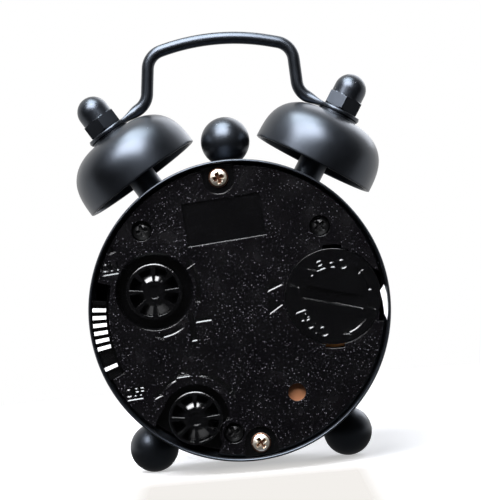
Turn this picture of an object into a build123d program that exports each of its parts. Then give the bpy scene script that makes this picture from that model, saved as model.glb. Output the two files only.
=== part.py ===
from build123d import *
import os
from math import asin, atan2, cos, degrees, hypot, pi, radians, sin, sqrt, tan

# A small twin bell alarm clock with a quartz movement. Millimetres, +Z up, dial towards -Y.
# The origin is on the surface that the clock stands on, under the middle of its outline.

# Case
BARREL_RADIUS = 23.6
BARREL_WALL = 0.6
BARREL_FRONT_Y = -10.6
RIM_BEAD_RADIUS = 0.55
RIM_PROUD = 0.4
CASE_REAR_Y = 11.0
BEZEL_FRONT_Y = -13.2
BEZEL_SKIRT_LENGTH = 3.2
BEZEL_WALL = 0.75
BEZEL_SHOULDER = 0.9
BEZEL_LIP = 2.6
BEZEL_LIP_EDGE = 0.35
FIT_GAP = 0.05
RUNNING_GAP = 0.06
PRESS_GAP = 0.02
MOVING_GAP = 0.15

# Lens, dial and the ring between them
LENS_THICKNESS = 0.9
LENS_RISE = 0.9
LENS_EDGE_Y = -12.0
LENS_GAP = 0.1
DIAL_THICKNESS = 0.5
DIAL_FRONT_Y = -8.1
DIAL_HOLE_GAP = 0.3
DIAL_RING_WIDTH = 0.9
DIAL_RING_FLARE = 0.5

# Bells, each on a post square to the barrel
BELL_TILT = 31.8
BELL_RADIUS = 10.3
BELL_HEIGHT = 8.6
BELL_WALL = 0.7
BELL_FLAT_RADIUS = 3.5
# Points of the curve between rim and crown, as shares of the radius and of the height
BELL_CURVE = [(0.982, 0.331), (0.908, 0.634), (0.655, 0.913)]
BELL_LIFT = 3.0
POST_RADIUS = 2.35
BELL_SCREW_RADIUS = 1.45
BELL_SCREW_HEAD_RADIUS = 2.6
BELL_SCREW_HEAD_HEIGHT = 1.5
SCREW_HOLE_GAP = 0.1
HEAD_GAP = 0.01
WASHER_RADIUS = 3.3
WASHER_THICKNESS = 0.4
NUT_ACROSS_FLATS = 5.5
NUT_HEX_HEIGHT = 2.4
NUT_CHAMFER = 0.3
NUT_DOME_RADIUS = 2.62
NUT_HEIGHT = 6.3
NUT_BORE_DEPTH = 4.6
SCREW_THREAD_IN_NUT = 4.0

# Handle of bent wire with flattened eyes
WIRE_RADIUS = 1.0
EYE_THICKNESS = 0.8
EYE_RADIUS = 3.6
EYE_NECK_START = 2.9
EYE_NECK_LENGTH = 3.2
EYE_NECK_WIDTH = 3.4
EYE_NECK_THICKNESS = 0.65
WIRE_LAP = 0.3
HANDLE_SHOULDER_FROM_NUT = 7.9
HANDLE_LEG_LEAN = 0.9
HANDLE_RISE = 14.8
HANDLE_ARCH_ANGLE = 14.6
HANDLE_ARCH_RADIUS = 35.0
HANDLE_BEND_RADIUS = 3.2

# Balls
BALL_RADIUS = 4.0
TOP_BALL_SEAT = 0.15
FOOT_SEAT = 0.5
FOOT_ANGLE = 36.3
FOOT_Y = -3.0
BALL_SCREW_RADIUS = 1.2
BALL_SCREW_HEAD_RADIUS = 2.2
BALL_SCREW_HEAD_HEIGHT = 1.4
BALL_SCREW_THREAD = 3.0
BALL_BORE_DEPTH = 4.4

# Movement housing
MOVEMENT_TURN = 4.2
PLATE_GAP = 0.3
SKIRT_INSET = 1.4
SKIRT_WALL = 0.8
FRONT_PLATE_THICKNESS = 1.2
COVER_Y = 10.0
COVER_THICKNESS = 1.0
COVER_CHAMFER = 0.35

# Screws of the movement: each one's way in from the plate's edge, and its direction from behind
CASE_SCREW_INSET = 1.4
CASE_SCREW_DIRECTIONS = [90.0, 270.0]
CASE_SCREW_HEAD_RADIUS = 1.55
CASE_SCREW_HEAD_HEIGHT = 0.9
CASE_SCREW_RADIUS = 0.75
CASE_SCREW_LENGTH = 3.4
CASE_POCKET_RADIUS = 2.6
CASE_POCKET_DEPTH = 0.5
COVER_SCREW_PLACES = [(2.66, 131.96), (4.22, 37.3), (3.18, 258.18)]
COVER_SCREW_HEAD_RADIUS = 1.45
COVER_SCREW_HEAD_HEIGHT = 0.8
COVER_SCREW_RADIUS = 0.7
COVER_SCREW_LENGTH = 4.0
COVER_RECESS_RADIUS = 1.65
COVER_RECESS_DEPTH = 1.4
COVER_SCREW_FLOOR = 1.1
BOSS_WALL = 0.7
COLUMN_RADIUS = 1.5
LUG_WIDTH = 3.0
LUG_THICKNESS = 1.0
LUG_DEPTH = 5.8
LUG_REACH = 3.2
LUG_STRIP_THICKNESS = 0.6
LUG_ROOM = 0.5
SCREW_CROWN_SHARE = 0.55
CROSS_LENGTH_SHARE = 1.1
CROSS_WIDTH_SHARE = 0.3

# Knobs and their wells
KNOB_RADIUS = 4.15
KNOB_HEIGHT = 3.2
KNOB_PROUD = 0.5
KNOB_POCKETS = 8
KNOB_FIN = 12.0
KNOB_HUB_RADIUS = 1.75
KNOB_HUB_RIM = 0.65
KNOB_HUB_DISH = 0.25
KNOB_RING = 0.5
KNOB_EDGE_ROUND = 0.25
KNOB_POCKET_DEPTH = 1.9
KNOB_POCKET_DRAFT = 0.15
ALARM_KNOB_EDGE = 0.05
KNOB_SHAFT_RADIUS = 1.0
SHAFT_SEAT = 0.8
WELL_DEPTH = 3.0
WELL_FLOOR = 0.8
WELL_WALL = 0.9
WELL_CHAMFER = 0.35
TIME_WELL_RADIUS = 5.85
ALARM_WELL_RADIUS = 5.35
TIME_KNOB_DIRECTION = 158.6
ALARM_KNOB_DIRECTION = 238.7

# Label recess, sound hole and the notch in the cover's edge
LABEL_INSET = 4.65
LABEL_SIDE = -0.2
LABEL_WIDTH = 12.6
LABEL_HEIGHT = 6.9
LABEL_DEPTH = 0.3
SOUND_DIRECTION = -64.2
SOUND_HOLE_INSET = 6.8
SOUND_HOLE_RADIUS = 1.4
PIEZO_INSET = 8.5
PIEZO_RADIUS = 4.7
PIEZO_THICKNESS = 0.3
PIEZO_SEAT = 0.15
PIEZO_RING_WIDTH = 0.8
NOTCH_DEPTH = 0.5
NOTCH_FROM = -13.5
NOTCH_TO = 0.8

# Battery bay and its door
DOOR_EDGE = 0.08
DOOR_DIRECTION = -0.76
DOOR_OVER_CELL = 1.82
DOOR_THICKNESS = 1.6
DOOR_GAP = 0.12
DOOR_LUG_REACH = 0.5
DOOR_LUG_THICKNESS = 0.5
DOOR_LUG_ANGLE = 16.0
DOOR_ENTRY_ANGLE = 22.0
DOOR_ENTRY_DIRECTIONS = [82.0, 263.4]
DOOR_TRAVEL = 40.0
COIN_SLOT_LENGTH = 10.2
COIN_SLOT_WIDTH = 2.0
COIN_SLOT_DEPTH = 0.9
COIN_SLOT_DIRECTION = -20.0
CELL_RADIUS = 5.8
CELL_HEIGHT = 5.4
CELL_EDGE = 0.2
CELL_CAP_STEP = 0.35
CELL_CAP_INSET = 0.9
BAY_GAP = 0.15
BAY_WALL = 0.7
CONTACT_THICKNESS = 0.2
CONTACT_WIDTH = 3.0
CONTACT_ROOM = 0.7
CONTACT_GAP = 0.1
CONTACT_POCKET = 0.45
CROWN_BORE = 0.9
CROWN_FOOT = 1.0
CROWN_TOP = 0.3

# Slide switch, an arc about the middle of the case
SLOT_WIDTH = 2.5
SLOT_FROM = 159.9
SLOT_TO = 199.6
SLIDER_END_GAP = 0.4
SLIDER_ARC = 32.2
SLIDER_INSET = 0.2
SLIDER_TRACK_Y = 8.0
SLIDER_BASE_HEIGHT = 1.5
SLIDER_PROUD = 0.45
SLIDER_RIB_PITCH = 3.1
SLIDER_RIB_ANGLE = 1.5
SLIDER_RIBS = 7
SLIDER_END_RIB = 5.2
SLIDER_END_BLOCK = 2.6
SLIDER_BLOCK_DROP = 0.1
TONGUE_REACH = 0.8
TONGUE_ROOT = 1.0
TONGUE_THICKNESS = 0.6
TONGUE_ARC = 15.0
TONGUE_END = 2.2
SLIDER_LIFT = 0.1
SLIDER_CONTACT_ARC = 11.0

# Train
TOOTH_ADDENDUM = 0.75
TOOTH_DEDENDUM = 1.05
TOOTH_ROOT_SHARE = 0.5
TOOTH_TIP_SHARE = 0.2
MODULE = 0.25
ROTOR_MODULE = 0.2
ALARM_WHEEL_TEETH = 40
ALARM_KNOB_TEETH = 14
CANNON_TEETH = 12
MINUTE_WHEEL_TEETH = 36
TIME_KNOB_TEETH = 27
MINUTE_PINION_TEETH = 10
HOUR_WHEEL_TEETH = 40
PINION_TEETH = 6
INTERMEDIATE_TEETH = 36
SECONDS_TEETH = 30
THIRD_TEETH = 45
CENTRE_TEETH = 48
THIRD_DIRECTION = 60.0
INTERMEDIATE_DIRECTION = -30.0
ROTOR_DIRECTION = -60.0
WHEEL_THICKNESS = 0.6
MOTION_WHEEL_THICKNESS = 0.7
SECOND_ARBOR_RADIUS = 0.25
ARBOR_RADIUS = 0.3
STUD_RADIUS = 0.4
TUBE_WALLS = 0.28
PIVOT_SHORT = 0.2
MIDDLE_PLATE_RADIUS = 15.5
MIDDLE_PLATE_THICKNESS = 0.8
MIDDLE_PLATE_Y = -1.6
PILLAR_RADIUS = 0.9
MIDDLE_PILLARS = [(0.5, 9.5), (10.5, 1.5), (4.0, -10.5), (-11.0, -1.5)]
BRIDGE_Y = 2.6
BRIDGE_THICKNESS = 0.8
BRIDGE_PILLARS = [(-3.6, 5.6), (0.0, -6.3), (10.0, 7.5)]
BRIDGE_ARM_RADIUS = 1.5

# Wheels by layer: the front face of each
ALARM_LAYER_Y = -6.1
HOUR_LAYER_Y = -5.0
MINUTE_LAYER_Y = -3.9
CENTRE_LAYER_Y = -2.8
THIRD_LAYER_Y = -0.4
SECONDS_LAYER_Y = 0.6
INTERMEDIATE_LAYER_Y = 1.6

# Motor and electrics
ROTOR_RADIUS = 1.8
ROTOR_THICKNESS = 1.6
STATOR_GAP = 0.3
STATOR_RING = 0.8
STATOR_THICKNESS = 0.6
STATOR_Y = 0.1
STATOR_ARM = 2.0
COIL_SPOT_UP = -11.4
COIL_ENDS = (0.6, 8.4)
COIL_RADIUS = 1.65
COIL_CORE_RADIUS = 0.9
COIL_CHEEK = 0.6
COIL_CHEEK_ROUND = 0.4
WINDING_SHORT = 0.15
BOARD_THICKNESS = 0.6
BOARD_Y = 4.4
BOARD_LEFT = -8.4
BOARD_LOW = -8.4
BOARD_HIGH = 9.4
BOARD_ROOM = 1.15
BOARD_ROUND = 1.0
CRYSTAL_RADIUS = 1.0
CRYSTAL_LENGTH = 6.0
CRYSTAL_ROUND = 0.3
CRYSTAL_SIDE_INSET = 2.5
CRYSTAL_LOW_INSET = 3.0
CHIP_SPOT = (1.5, 1.0)
CHIP_RADIUS = 2.4
CHIP_HEIGHT = 0.9

# Hands: each one's length, tail, width and place, clockwise from twelve
HAND_THICKNESS = 0.2
ALARM_HAND = dict(length=9.0, tail=2.6, width=0.9, angle=180.0)
HOUR_HAND = dict(length=11.0, tail=3.0, width=1.7, angle=305.0)
MINUTE_HAND = dict(length=16.5, tail=3.6, width=1.3, angle=60.0)
SECOND_HAND = dict(length=17.5, tail=5.5, width=0.5, angle=210.0)
ALARM_HAND_Y = -8.75
HOUR_HAND_Y = -9.45
MINUTE_HAND_Y = -10.15
SECOND_HAND_Y = -10.85
HAND_EYE_WALL = 0.8
HAND_BELLY_PLACE = 0.6
HAND_BELLY_SHARE = 0.62
HAND_TAIL_SHARE = 0.35

# Leaf spring behind the hour wheel
LEAF_DIRECTION = -20.0
LEAF_REACH = 11.0
LEAF_TIP = 3.2
LEAF_WIDTH = 1.4
LEAF_THICKNESS = 0.15

# Values that follow from those above
BARREL_BORE = BARREL_RADIUS - BARREL_WALL
RIM_CENTRE_RADIUS = BARREL_RADIUS + RIM_PROUD - RIM_BEAD_RADIUS
BEZEL_BORE = BARREL_RADIUS + FIT_GAP
BEZEL_RADIUS = BEZEL_BORE + BEZEL_WALL
BEZEL_REAR_Y = BEZEL_FRONT_Y + BEZEL_SKIRT_LENGTH
BEZEL_WINDOW_RADIUS = BARREL_RADIUS - BEZEL_LIP
LENS_RADIUS = BARREL_BORE - LENS_GAP
BELL_RIM_FROM_CENTRE = BARREL_RADIUS + BELL_LIFT
BELL_TOP = BELL_RIM_FROM_CENTRE + BELL_HEIGHT
EYE_BASE = BELL_TOP + WASHER_THICKNESS
EYE_MIDDLE = EYE_BASE + EYE_THICKNESS / 2
NUT_BASE = EYE_BASE + EYE_THICKNESS
TOP_BALL_CENTRE = BARREL_RADIUS + BALL_RADIUS - TOP_BALL_SEAT
FOOT_CENTRE = BARREL_RADIUS + BALL_RADIUS - FOOT_SEAT
CASE_HEIGHT = FOOT_CENTRE * cos(radians(FOOT_ANGLE)) + BALL_RADIUS
FRAME_SHIFT_Y = -(CASE_REAR_Y + BEZEL_FRONT_Y) / 2
PLATE_RADIUS = BARREL_BORE - PLATE_GAP
SKIRT_RADIUS = PLATE_RADIUS - SKIRT_INSET
SKIRT_BORE = SKIRT_RADIUS - SKIRT_WALL
PLATE_FRONT_Y = DIAL_FRONT_Y + DIAL_THICKNESS
PLATE_REAR_Y = PLATE_FRONT_Y + FRONT_PLATE_THICKNESS
COVER_INNER_Y = COVER_Y - COVER_THICKNESS
WELL_FLOOR_Y = COVER_Y - WELL_DEPTH
WELL_BASE_Y = WELL_FLOOR_Y - WELL_FLOOR
KNOB_TOP_Y = COVER_Y + KNOB_PROUD
KNOB_BASE_Y = KNOB_TOP_Y - KNOB_HEIGHT
COLUMN_TOP_Y = COVER_Y - COVER_RECESS_DEPTH - COVER_SCREW_FLOOR
DOOR_INNER_Y = COVER_Y - DOOR_THICKNESS
CELL_TOP_Y = DOOR_INNER_Y - FIT_GAP
CELL_BASE_Y = CELL_TOP_Y - CELL_HEIGHT
BAY_BORE = CELL_RADIUS + BAY_GAP
BAY_RADIUS = BAY_BORE + BAY_WALL
BAY_LEDGE_Y = CELL_TOP_Y
BAY_FLOOR_Y = CELL_BASE_Y - CONTACT_ROOM
BAY_BASE_Y = BAY_FLOOR_Y - BAY_WALL
SKIRT_JOINT_Y = BAY_BASE_Y
DOOR_RADIUS = CELL_RADIUS + DOOR_OVER_CELL
DOOR_SWEEP_RADIUS = DOOR_RADIUS + DOOR_LUG_REACH + MOVING_GAP
SLOT_INNER_RADIUS = PLATE_RADIUS - SLOT_WIDTH
SLIDER_INNER_RADIUS = SLOT_INNER_RADIUS + MOVING_GAP
SLIDER_OUTER_RADIUS = PLATE_RADIUS - SLIDER_INSET
SLIDER_TO = SLOT_TO - SLIDER_END_GAP
SLIDER_FROM = SLIDER_TO - SLIDER_ARC
SLIDER_LOW_Y = SLIDER_TRACK_Y + SLIDER_LIFT
TONGUE_TO = SLIDER_TO - TONGUE_END
TONGUE_FROM = TONGUE_TO - TONGUE_ARC
MIDDLE_PLATE_REAR_Y = MIDDLE_PLATE_Y + MIDDLE_PLATE_THICKNESS
BRIDGE_REAR_Y = BRIDGE_Y + BRIDGE_THICKNESS
CASE_SCREW_END_Y = COVER_Y - CASE_POCKET_DEPTH - CASE_SCREW_LENGTH
LUG_TOP_Y = COVER_INNER_Y - FIT_GAP
ALARM_KNOB_DISTANCE = PLATE_RADIUS - KNOB_RADIUS - ALARM_KNOB_EDGE
ALARM_IDLER_TEETH = round(ALARM_KNOB_DISTANCE / MODULE - (ALARM_WHEEL_TEETH + ALARM_KNOB_TEETH) / 2)


def polar(radius, direction, start=(0.0, 0.0)):
    """A point at a distance and a direction in degrees from a start point."""
    turn = radians(direction)
    return (start[0] + radius * cos(turn), start[1] + radius * sin(turn))


def centre_distance(teeth_a, teeth_b, module):
    return module * (teeth_a + teeth_b) / 2


# Spots on the plate, as seen from behind: to the right, up
CASE_SCREW_SPOTS = [polar(PLATE_RADIUS - CASE_SCREW_INSET, direction) for direction in CASE_SCREW_DIRECTIONS]
COVER_SCREW_SPOTS = [polar(PLATE_RADIUS - inset, direction) for inset, direction in COVER_SCREW_PLACES]
LABEL_SPOT = (LABEL_SIDE, PLATE_RADIUS - LABEL_INSET - LABEL_HEIGHT / 2)
SOUND_HOLE_SPOT = polar(PLATE_RADIUS - SOUND_HOLE_INSET, SOUND_DIRECTION)
PIEZO_SPOT = polar(PLATE_RADIUS - PIEZO_INSET, SOUND_DIRECTION)
DOOR_SPOT = polar(PLATE_RADIUS - DOOR_EDGE - DOOR_RADIUS, DOOR_DIRECTION)
BOARD_RIGHT = DOOR_SPOT[0] - BAY_RADIUS - BOARD_ROOM

# Axes of the wheels, each at its mesh from the one before
MINUTE_AXIS = polar(centre_distance(CANNON_TEETH, MINUTE_WHEEL_TEETH, MODULE), TIME_KNOB_DIRECTION)
TIME_AXIS = polar(
    centre_distance(MINUTE_WHEEL_TEETH, TIME_KNOB_TEETH, MODULE), TIME_KNOB_DIRECTION, MINUTE_AXIS)
IDLER_AXIS = polar(
    centre_distance(ALARM_WHEEL_TEETH, ALARM_IDLER_TEETH, MODULE), ALARM_KNOB_DIRECTION)
ALARM_AXIS = polar(
    centre_distance(ALARM_IDLER_TEETH, ALARM_KNOB_TEETH, MODULE), ALARM_KNOB_DIRECTION, IDLER_AXIS)
INTERMEDIATE_AXIS = polar(
    centre_distance(PINION_TEETH, SECONDS_TEETH, MODULE), INTERMEDIATE_DIRECTION)
ROTOR_AXIS = polar(
    centre_distance(PINION_TEETH, INTERMEDIATE_TEETH, ROTOR_MODULE), ROTOR_DIRECTION, INTERMEDIATE_AXIS)
THIRD_AXIS = polar(centre_distance(PINION_TEETH, THIRD_TEETH, MODULE), THIRD_DIRECTION)
HOUR_MODULE = 2 * hypot(*MINUTE_AXIS) / (MINUTE_PINION_TEETH + HOUR_WHEEL_TEETH)
CENTRE_MODULE = 2 * hypot(*THIRD_AXIS) / (PINION_TEETH + CENTRE_TEETH)

# Tubes on the middle axis, from the innermost out
CENTRE_PIPE_BORE = SECOND_ARBOR_RADIUS + RUNNING_GAP
CENTRE_PIPE_RADIUS = CENTRE_PIPE_BORE + TUBE_WALLS
CANNON_BORE = CENTRE_PIPE_RADIUS + RUNNING_GAP
CANNON_RADIUS = CANNON_BORE + TUBE_WALLS
HOUR_BORE = CANNON_RADIUS + RUNNING_GAP
HOUR_RADIUS = HOUR_BORE + TUBE_WALLS
ALARM_BORE = HOUR_RADIUS + RUNNING_GAP
ALARM_TUBE_RADIUS = ALARM_BORE + TUBE_WALLS


def back_plane(y):
    """A plane seen from behind the clock: first coordinate to the right, second up."""
    return Plane(origin=(0, y, 0), x_dir=(-1, 0, 0), z_dir=(0, 1, 0))


def front_plane(y):
    """A plane seen from the dial side: first coordinate to the right, second up."""
    return Plane(origin=(0, y, 0), x_dir=(1, 0, 0), z_dir=(0, -1, 0))


def slab(outline, low_y, high_y):
    """An outline drawn as seen from behind, made solid from low_y to high_y."""
    return extrude(back_plane(low_y) * outline, amount=high_y - low_y)


def rod(radius, low_y, high_y, spot=(0.0, 0.0)):
    return slab(Pos(*spot) * Circle(radius), low_y, high_y)


def tube(radius, bore, low_y, high_y, spot=(0.0, 0.0)):
    return slab(Pos(*spot) * (Circle(radius) - Circle(bore)), low_y, high_y)


def turned(profile, angle=360.0):
    """A profile drawn as (radius, y), turned about the clock's own middle axis."""
    return revolve(profile, Axis.Y, revolution_arc=angle)


def turned_upright(profile):
    """A profile drawn as (radius, height), turned about the vertical."""
    return revolve(Plane.XZ * profile, Axis.Z)


def sector(radius, start, end):
    """A pie slice, with its angles in degrees as seen from behind."""
    reach = 2 * radius
    spots = [(0, 0)]
    steps = max(2, int((end - start) / 30) + 2)
    for step in range(steps):
        spots.append(polar(reach, start + (end - start) * step / (steps - 1)))
    return Circle(radius) & make_face(Polyline(*spots, close=True))


def ring_sector(radius, bore, start, end):
    return sector(radius, start, end) - Circle(bore)


def at_spot(piece, spot):
    """Moves a piece made on the middle axis to a spot as seen from behind."""
    return Pos(-spot[0], 0, spot[1]) * piece


def radial(piece, direction, y=0.0):
    """Stands an upright piece on the case at a direction in degrees from the top towards +X."""
    return Pos(0, y, 0) * Rot(0, direction, 0) * piece


def gear_outline(teeth, module, phase=0.0):
    """Straight-flanked clock teeth, one of them centred on the phase angle."""
    pitch_radius = module * teeth / 2
    root = pitch_radius - TOOTH_DEDENDUM * module
    tip = pitch_radius + TOOTH_ADDENDUM * module
    pitch_arc = pi * module
    root_half = degrees(TOOTH_ROOT_SHARE * pitch_arc / 2 / root)
    tip_half = degrees(TOOTH_TIP_SHARE * pitch_arc / 2 / tip)
    corners = []
    for tooth in range(teeth):
        middle = phase + 360 * tooth / teeth
        corners.append(polar(root, middle - root_half))
        corners.append(polar(tip, middle - tip_half))
        corners.append(polar(tip, middle + tip_half))
        corners.append(polar(root, middle + root_half))
    return make_face(Polyline(*corners, close=True))


def mesh_phase(phase, teeth, other_teeth, direction):
    """The phase that puts another gear's gap where this gear's tooth points along the direction."""
    share = (phase - direction) / (360 / teeth)
    return direction + 180 + (0.5 - share) * 360 / other_teeth


def direction_of(start, end):
    return degrees(atan2(end[1] - start[1], end[0] - start[0]))


# Case, bezel, lens and dial
def make_barrel():
    wall = Pos((BARREL_RADIUS + BARREL_BORE) / 2, (BARREL_FRONT_Y + CASE_REAR_Y - RIM_BEAD_RADIUS) / 2) \
        * Rectangle(BARREL_WALL, CASE_REAR_Y - RIM_BEAD_RADIUS - BARREL_FRONT_Y)
    bead = Pos(RIM_CENTRE_RADIUS, CASE_REAR_Y - RIM_BEAD_RADIUS) * Circle(RIM_BEAD_RADIUS)
    barrel = turned(wall + bead)
    reach = Pos(0, 0, BARREL_RADIUS)
    bell_hole = reach * Cylinder(BELL_SCREW_RADIUS + SCREW_HOLE_GAP, 4 * BARREL_WALL)
    ball_hole = reach * Cylinder(BALL_SCREW_RADIUS + SCREW_HOLE_GAP, 4 * BARREL_WALL)
    for side in (-1, 1):
        barrel -= radial(bell_hole, side * BELL_TILT)
        barrel -= radial(ball_hole, side * (180 - FOOT_ANGLE), FOOT_Y)
    return barrel - ball_hole


def make_bezel():
    """A spun ring: a skirt over the barrel, a rounded shoulder and a lip over the lens."""
    lip_y = LENS_EDGE_Y - FIT_GAP
    side = (BEZEL_RADIUS, BEZEL_FRONT_Y + BEZEL_SHOULDER)
    crest = (BEZEL_RADIUS - BEZEL_SHOULDER, BEZEL_FRONT_Y)
    with BuildLine() as line:
        Line((BEZEL_RADIUS, BEZEL_REAR_Y), side)
        RadiusArc(side, crest, BEZEL_SHOULDER)
        Polyline(
            crest,
            (BEZEL_RADIUS - 2 * BEZEL_SHOULDER, BEZEL_FRONT_Y),
            (BEZEL_WINDOW_RADIUS, lip_y - BEZEL_LIP_EDGE),
            (BEZEL_WINDOW_RADIUS, lip_y),
            (BEZEL_BORE, lip_y),
            (BEZEL_BORE, BEZEL_REAR_Y),
            (BEZEL_RADIUS, BEZEL_REAR_Y))
    return turned(make_face(line.line))


def cap_height(radius, rise, at_radius):
    """The height of a spherical cap over its rim, at a distance from its middle."""
    sphere = (radius ** 2 + rise ** 2) / (2 * rise)
    return sqrt(sphere ** 2 - at_radius ** 2) - (sphere - rise)


def make_lens():
    """A domed pane with a flat edge that the bezel's lip covers."""
    back_y = LENS_EDGE_Y + LENS_THICKNESS
    dome = BEZEL_WINDOW_RADIUS - MOVING_GAP
    half = dome / 2
    swell = cap_height(dome, LENS_RISE, half)
    with BuildLine() as line:
        ThreePointArc((0, LENS_EDGE_Y - LENS_RISE), (half, LENS_EDGE_Y - swell), (dome, LENS_EDGE_Y))
        Line((dome, LENS_EDGE_Y), (LENS_RADIUS, LENS_EDGE_Y))
        Line((LENS_RADIUS, LENS_EDGE_Y), (LENS_RADIUS, back_y))
        Line((LENS_RADIUS, back_y), (dome, back_y))
        ThreePointArc((dome, back_y), (half, back_y - swell), (0, back_y - LENS_RISE))
        Line((0, back_y - LENS_RISE), (0, LENS_EDGE_Y - LENS_RISE))
    return turned(make_face(line.line))


def make_dial():
    return tube(LENS_RADIUS, ALARM_TUBE_RADIUS + DIAL_HOLE_GAP, DIAL_FRONT_Y, DIAL_FRONT_Y + DIAL_THICKNESS)


def make_dial_ring():
    """The ring that keeps the lens off the dial, wider where it meets the dial."""
    lens_y = LENS_EDGE_Y + LENS_THICKNESS
    inner = LENS_RADIUS - DIAL_RING_WIDTH
    corners = [(LENS_RADIUS, lens_y), (inner, lens_y), (inner - DIAL_RING_FLARE, DIAL_FRONT_Y),
               (LENS_RADIUS, DIAL_FRONT_Y)]
    return turned(make_face(Polyline(*corners, close=True)))


# Bells, posts, nuts and handle, made upright at the height that they have above the case's middle
def bell_form(radius, height, flat):
    """A bell's outline: upright at the rim, swelling over into a flat crown."""
    with BuildLine() as line:
        swell = [(across * radius, up * height) for across, up in BELL_CURVE]
        Spline((radius, 0), *swell, (flat, height), tangents=((0, 1), (-1, 0)))
        Line((flat, height), (0, height))
        Line((0, height), (0, 0))
        Line((0, 0), (radius, 0))
    return turned_upright(make_face(line.line))


def make_bell():
    bell = bell_form(BELL_RADIUS, BELL_HEIGHT, BELL_FLAT_RADIUS)
    bell -= bell_form(BELL_RADIUS - BELL_WALL, BELL_HEIGHT - BELL_WALL, BELL_FLAT_RADIUS)
    bell -= Cylinder(BELL_SCREW_RADIUS + SCREW_HOLE_GAP, 3 * BELL_HEIGHT)
    return Pos(0, 0, BELL_RIM_FROM_CENTRE) * bell


def upright_tube(radius, bore, low, high):
    outline = Circle(radius) - Circle(bore) if bore else Circle(radius)
    return extrude(Plane.XY.offset(low) * outline, amount=high - low)


def make_post():
    return upright_tube(POST_RADIUS, BELL_SCREW_RADIUS + SCREW_HOLE_GAP, BARREL_RADIUS, BELL_TOP - BELL_WALL)


def head_seat(head_radius):
    """How far from the case's middle a flat screw head stands when its edge meets the barrel's bore."""
    return sqrt(BARREL_BORE ** 2 - head_radius ** 2) - HEAD_GAP


def make_bell_screw():
    """Comes through the barrel from inside, up through the bell into the nut."""
    seat = head_seat(BELL_SCREW_HEAD_RADIUS)
    shank = upright_tube(BELL_SCREW_RADIUS, 0, seat, NUT_BASE + SCREW_THREAD_IN_NUT)
    return shank + upright_tube(BELL_SCREW_HEAD_RADIUS, 0, seat - BELL_SCREW_HEAD_HEIGHT, seat)


def make_washer():
    return upright_tube(WASHER_RADIUS, BELL_SCREW_RADIUS + SCREW_HOLE_GAP, BELL_TOP, EYE_BASE)


def make_dome_nut():
    """A hexagon with chamfered corners under a tall dome, bored blind."""
    corner_radius = NUT_ACROSS_FLATS / sqrt(3)
    hexagon = extrude(RegularPolygon(corner_radius, 6), amount=NUT_HEX_HEIGHT)
    barrel = Cylinder(corner_radius, NUT_HEX_HEIGHT, align=(Align.CENTER, Align.CENTER, Align.MIN))
    barrel = chamfer(barrel.edges().filter_by(GeomType.CIRCLE), NUT_CHAMFER)
    straight = NUT_HEIGHT - NUT_DOME_RADIUS
    diagonal = NUT_DOME_RADIUS / sqrt(2)
    with BuildLine() as line:
        Line((0, 0), (NUT_DOME_RADIUS, 0))
        Line((NUT_DOME_RADIUS, 0), (NUT_DOME_RADIUS, straight))
        ThreePointArc((NUT_DOME_RADIUS, straight), (diagonal, straight + diagonal), (0, NUT_HEIGHT))
        Line((0, NUT_HEIGHT), (0, 0))
    dome = turned_upright(make_face(line.line))
    bore = upright_tube(BELL_SCREW_RADIUS + FIT_GAP, 0, 0, NUT_BORE_DEPTH)
    return Pos(0, 0, NUT_BASE) * ((hexagon & barrel) + dome - bore)


def make_handle():
    """One wire bent into two shoulders, two legs and a shallow arch, its ends hammered into eyes."""
    tilt = radians(BELL_TILT)
    eye = (EYE_MIDDLE * sin(tilt), EYE_MIDDLE * cos(tilt))
    inward = (-cos(tilt), sin(tilt))

    def along(distance):
        return (eye[0] + distance * inward[0], eye[1] + distance * inward[1])

    neck_end = EYE_NECK_START + EYE_NECK_LENGTH
    start = along(neck_end - WIRE_LAP)
    shoulder = along(HANDLE_SHOULDER_FROM_NUT)
    slope = tan(radians(HANDLE_ARCH_ANGLE))
    arch_drop = HANDLE_ARCH_RADIUS * (1 / cos(radians(HANDLE_ARCH_ANGLE)) - 1)
    peak = eye[1] + HANDLE_RISE - WIRE_RADIUS + arch_drop
    half_width = shoulder[0] - HANDLE_LEG_LEAN
    corner = (half_width, peak - half_width * slope)
    right = [start, shoulder, corner]
    left = [(-x, z) for x, z in reversed(right)]
    bends = [HANDLE_BEND_RADIUS] * 2 + [HANDLE_ARCH_RADIUS] + [HANDLE_BEND_RADIUS] * 2
    route = Plane.XZ * FilletPolyline(*right, (0, peak), *left, radius=bends)
    handle = sweep(Plane(origin=route @ 0, z_dir=route % 0) * Circle(WIRE_RADIUS), path=route)
    plate = Cylinder(EYE_RADIUS, EYE_THICKNESS)
    neck_section = Plane.YZ.offset(-EYE_NECK_START) * SlotOverall(EYE_NECK_WIDTH, EYE_NECK_THICKNESS)
    wire_section = Plane.YZ.offset(-neck_end) * Circle(WIRE_RADIUS)
    flattened = plate + loft([neck_section, wire_section])
    flattened -= Cylinder(BELL_SCREW_RADIUS + SCREW_HOLE_GAP, 4 * EYE_THICKNESS)
    right_eye = Rot(0, BELL_TILT, 0) * Pos(0, 0, EYE_MIDDLE) * flattened
    return handle + right_eye + mirror(right_eye, about=Plane.YZ)


# Balls and their screws
def make_ball(centre):
    """A ball with a small flat seat on the barrel and a blind hole for its screw."""
    ball = Pos(0, 0, centre) * Sphere(BALL_RADIUS)
    seat = Cylinder(BALL_RADIUS, 2 * BALL_RADIUS, align=(Align.CENTER, Align.CENTER, Align.MAX))
    ball -= Pos(0, 0, BARREL_RADIUS) * seat
    bore = Cylinder(BALL_SCREW_RADIUS + FIT_GAP, 2 * BALL_BORE_DEPTH)
    return ball - Pos(0, 0, BARREL_RADIUS) * bore


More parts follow.
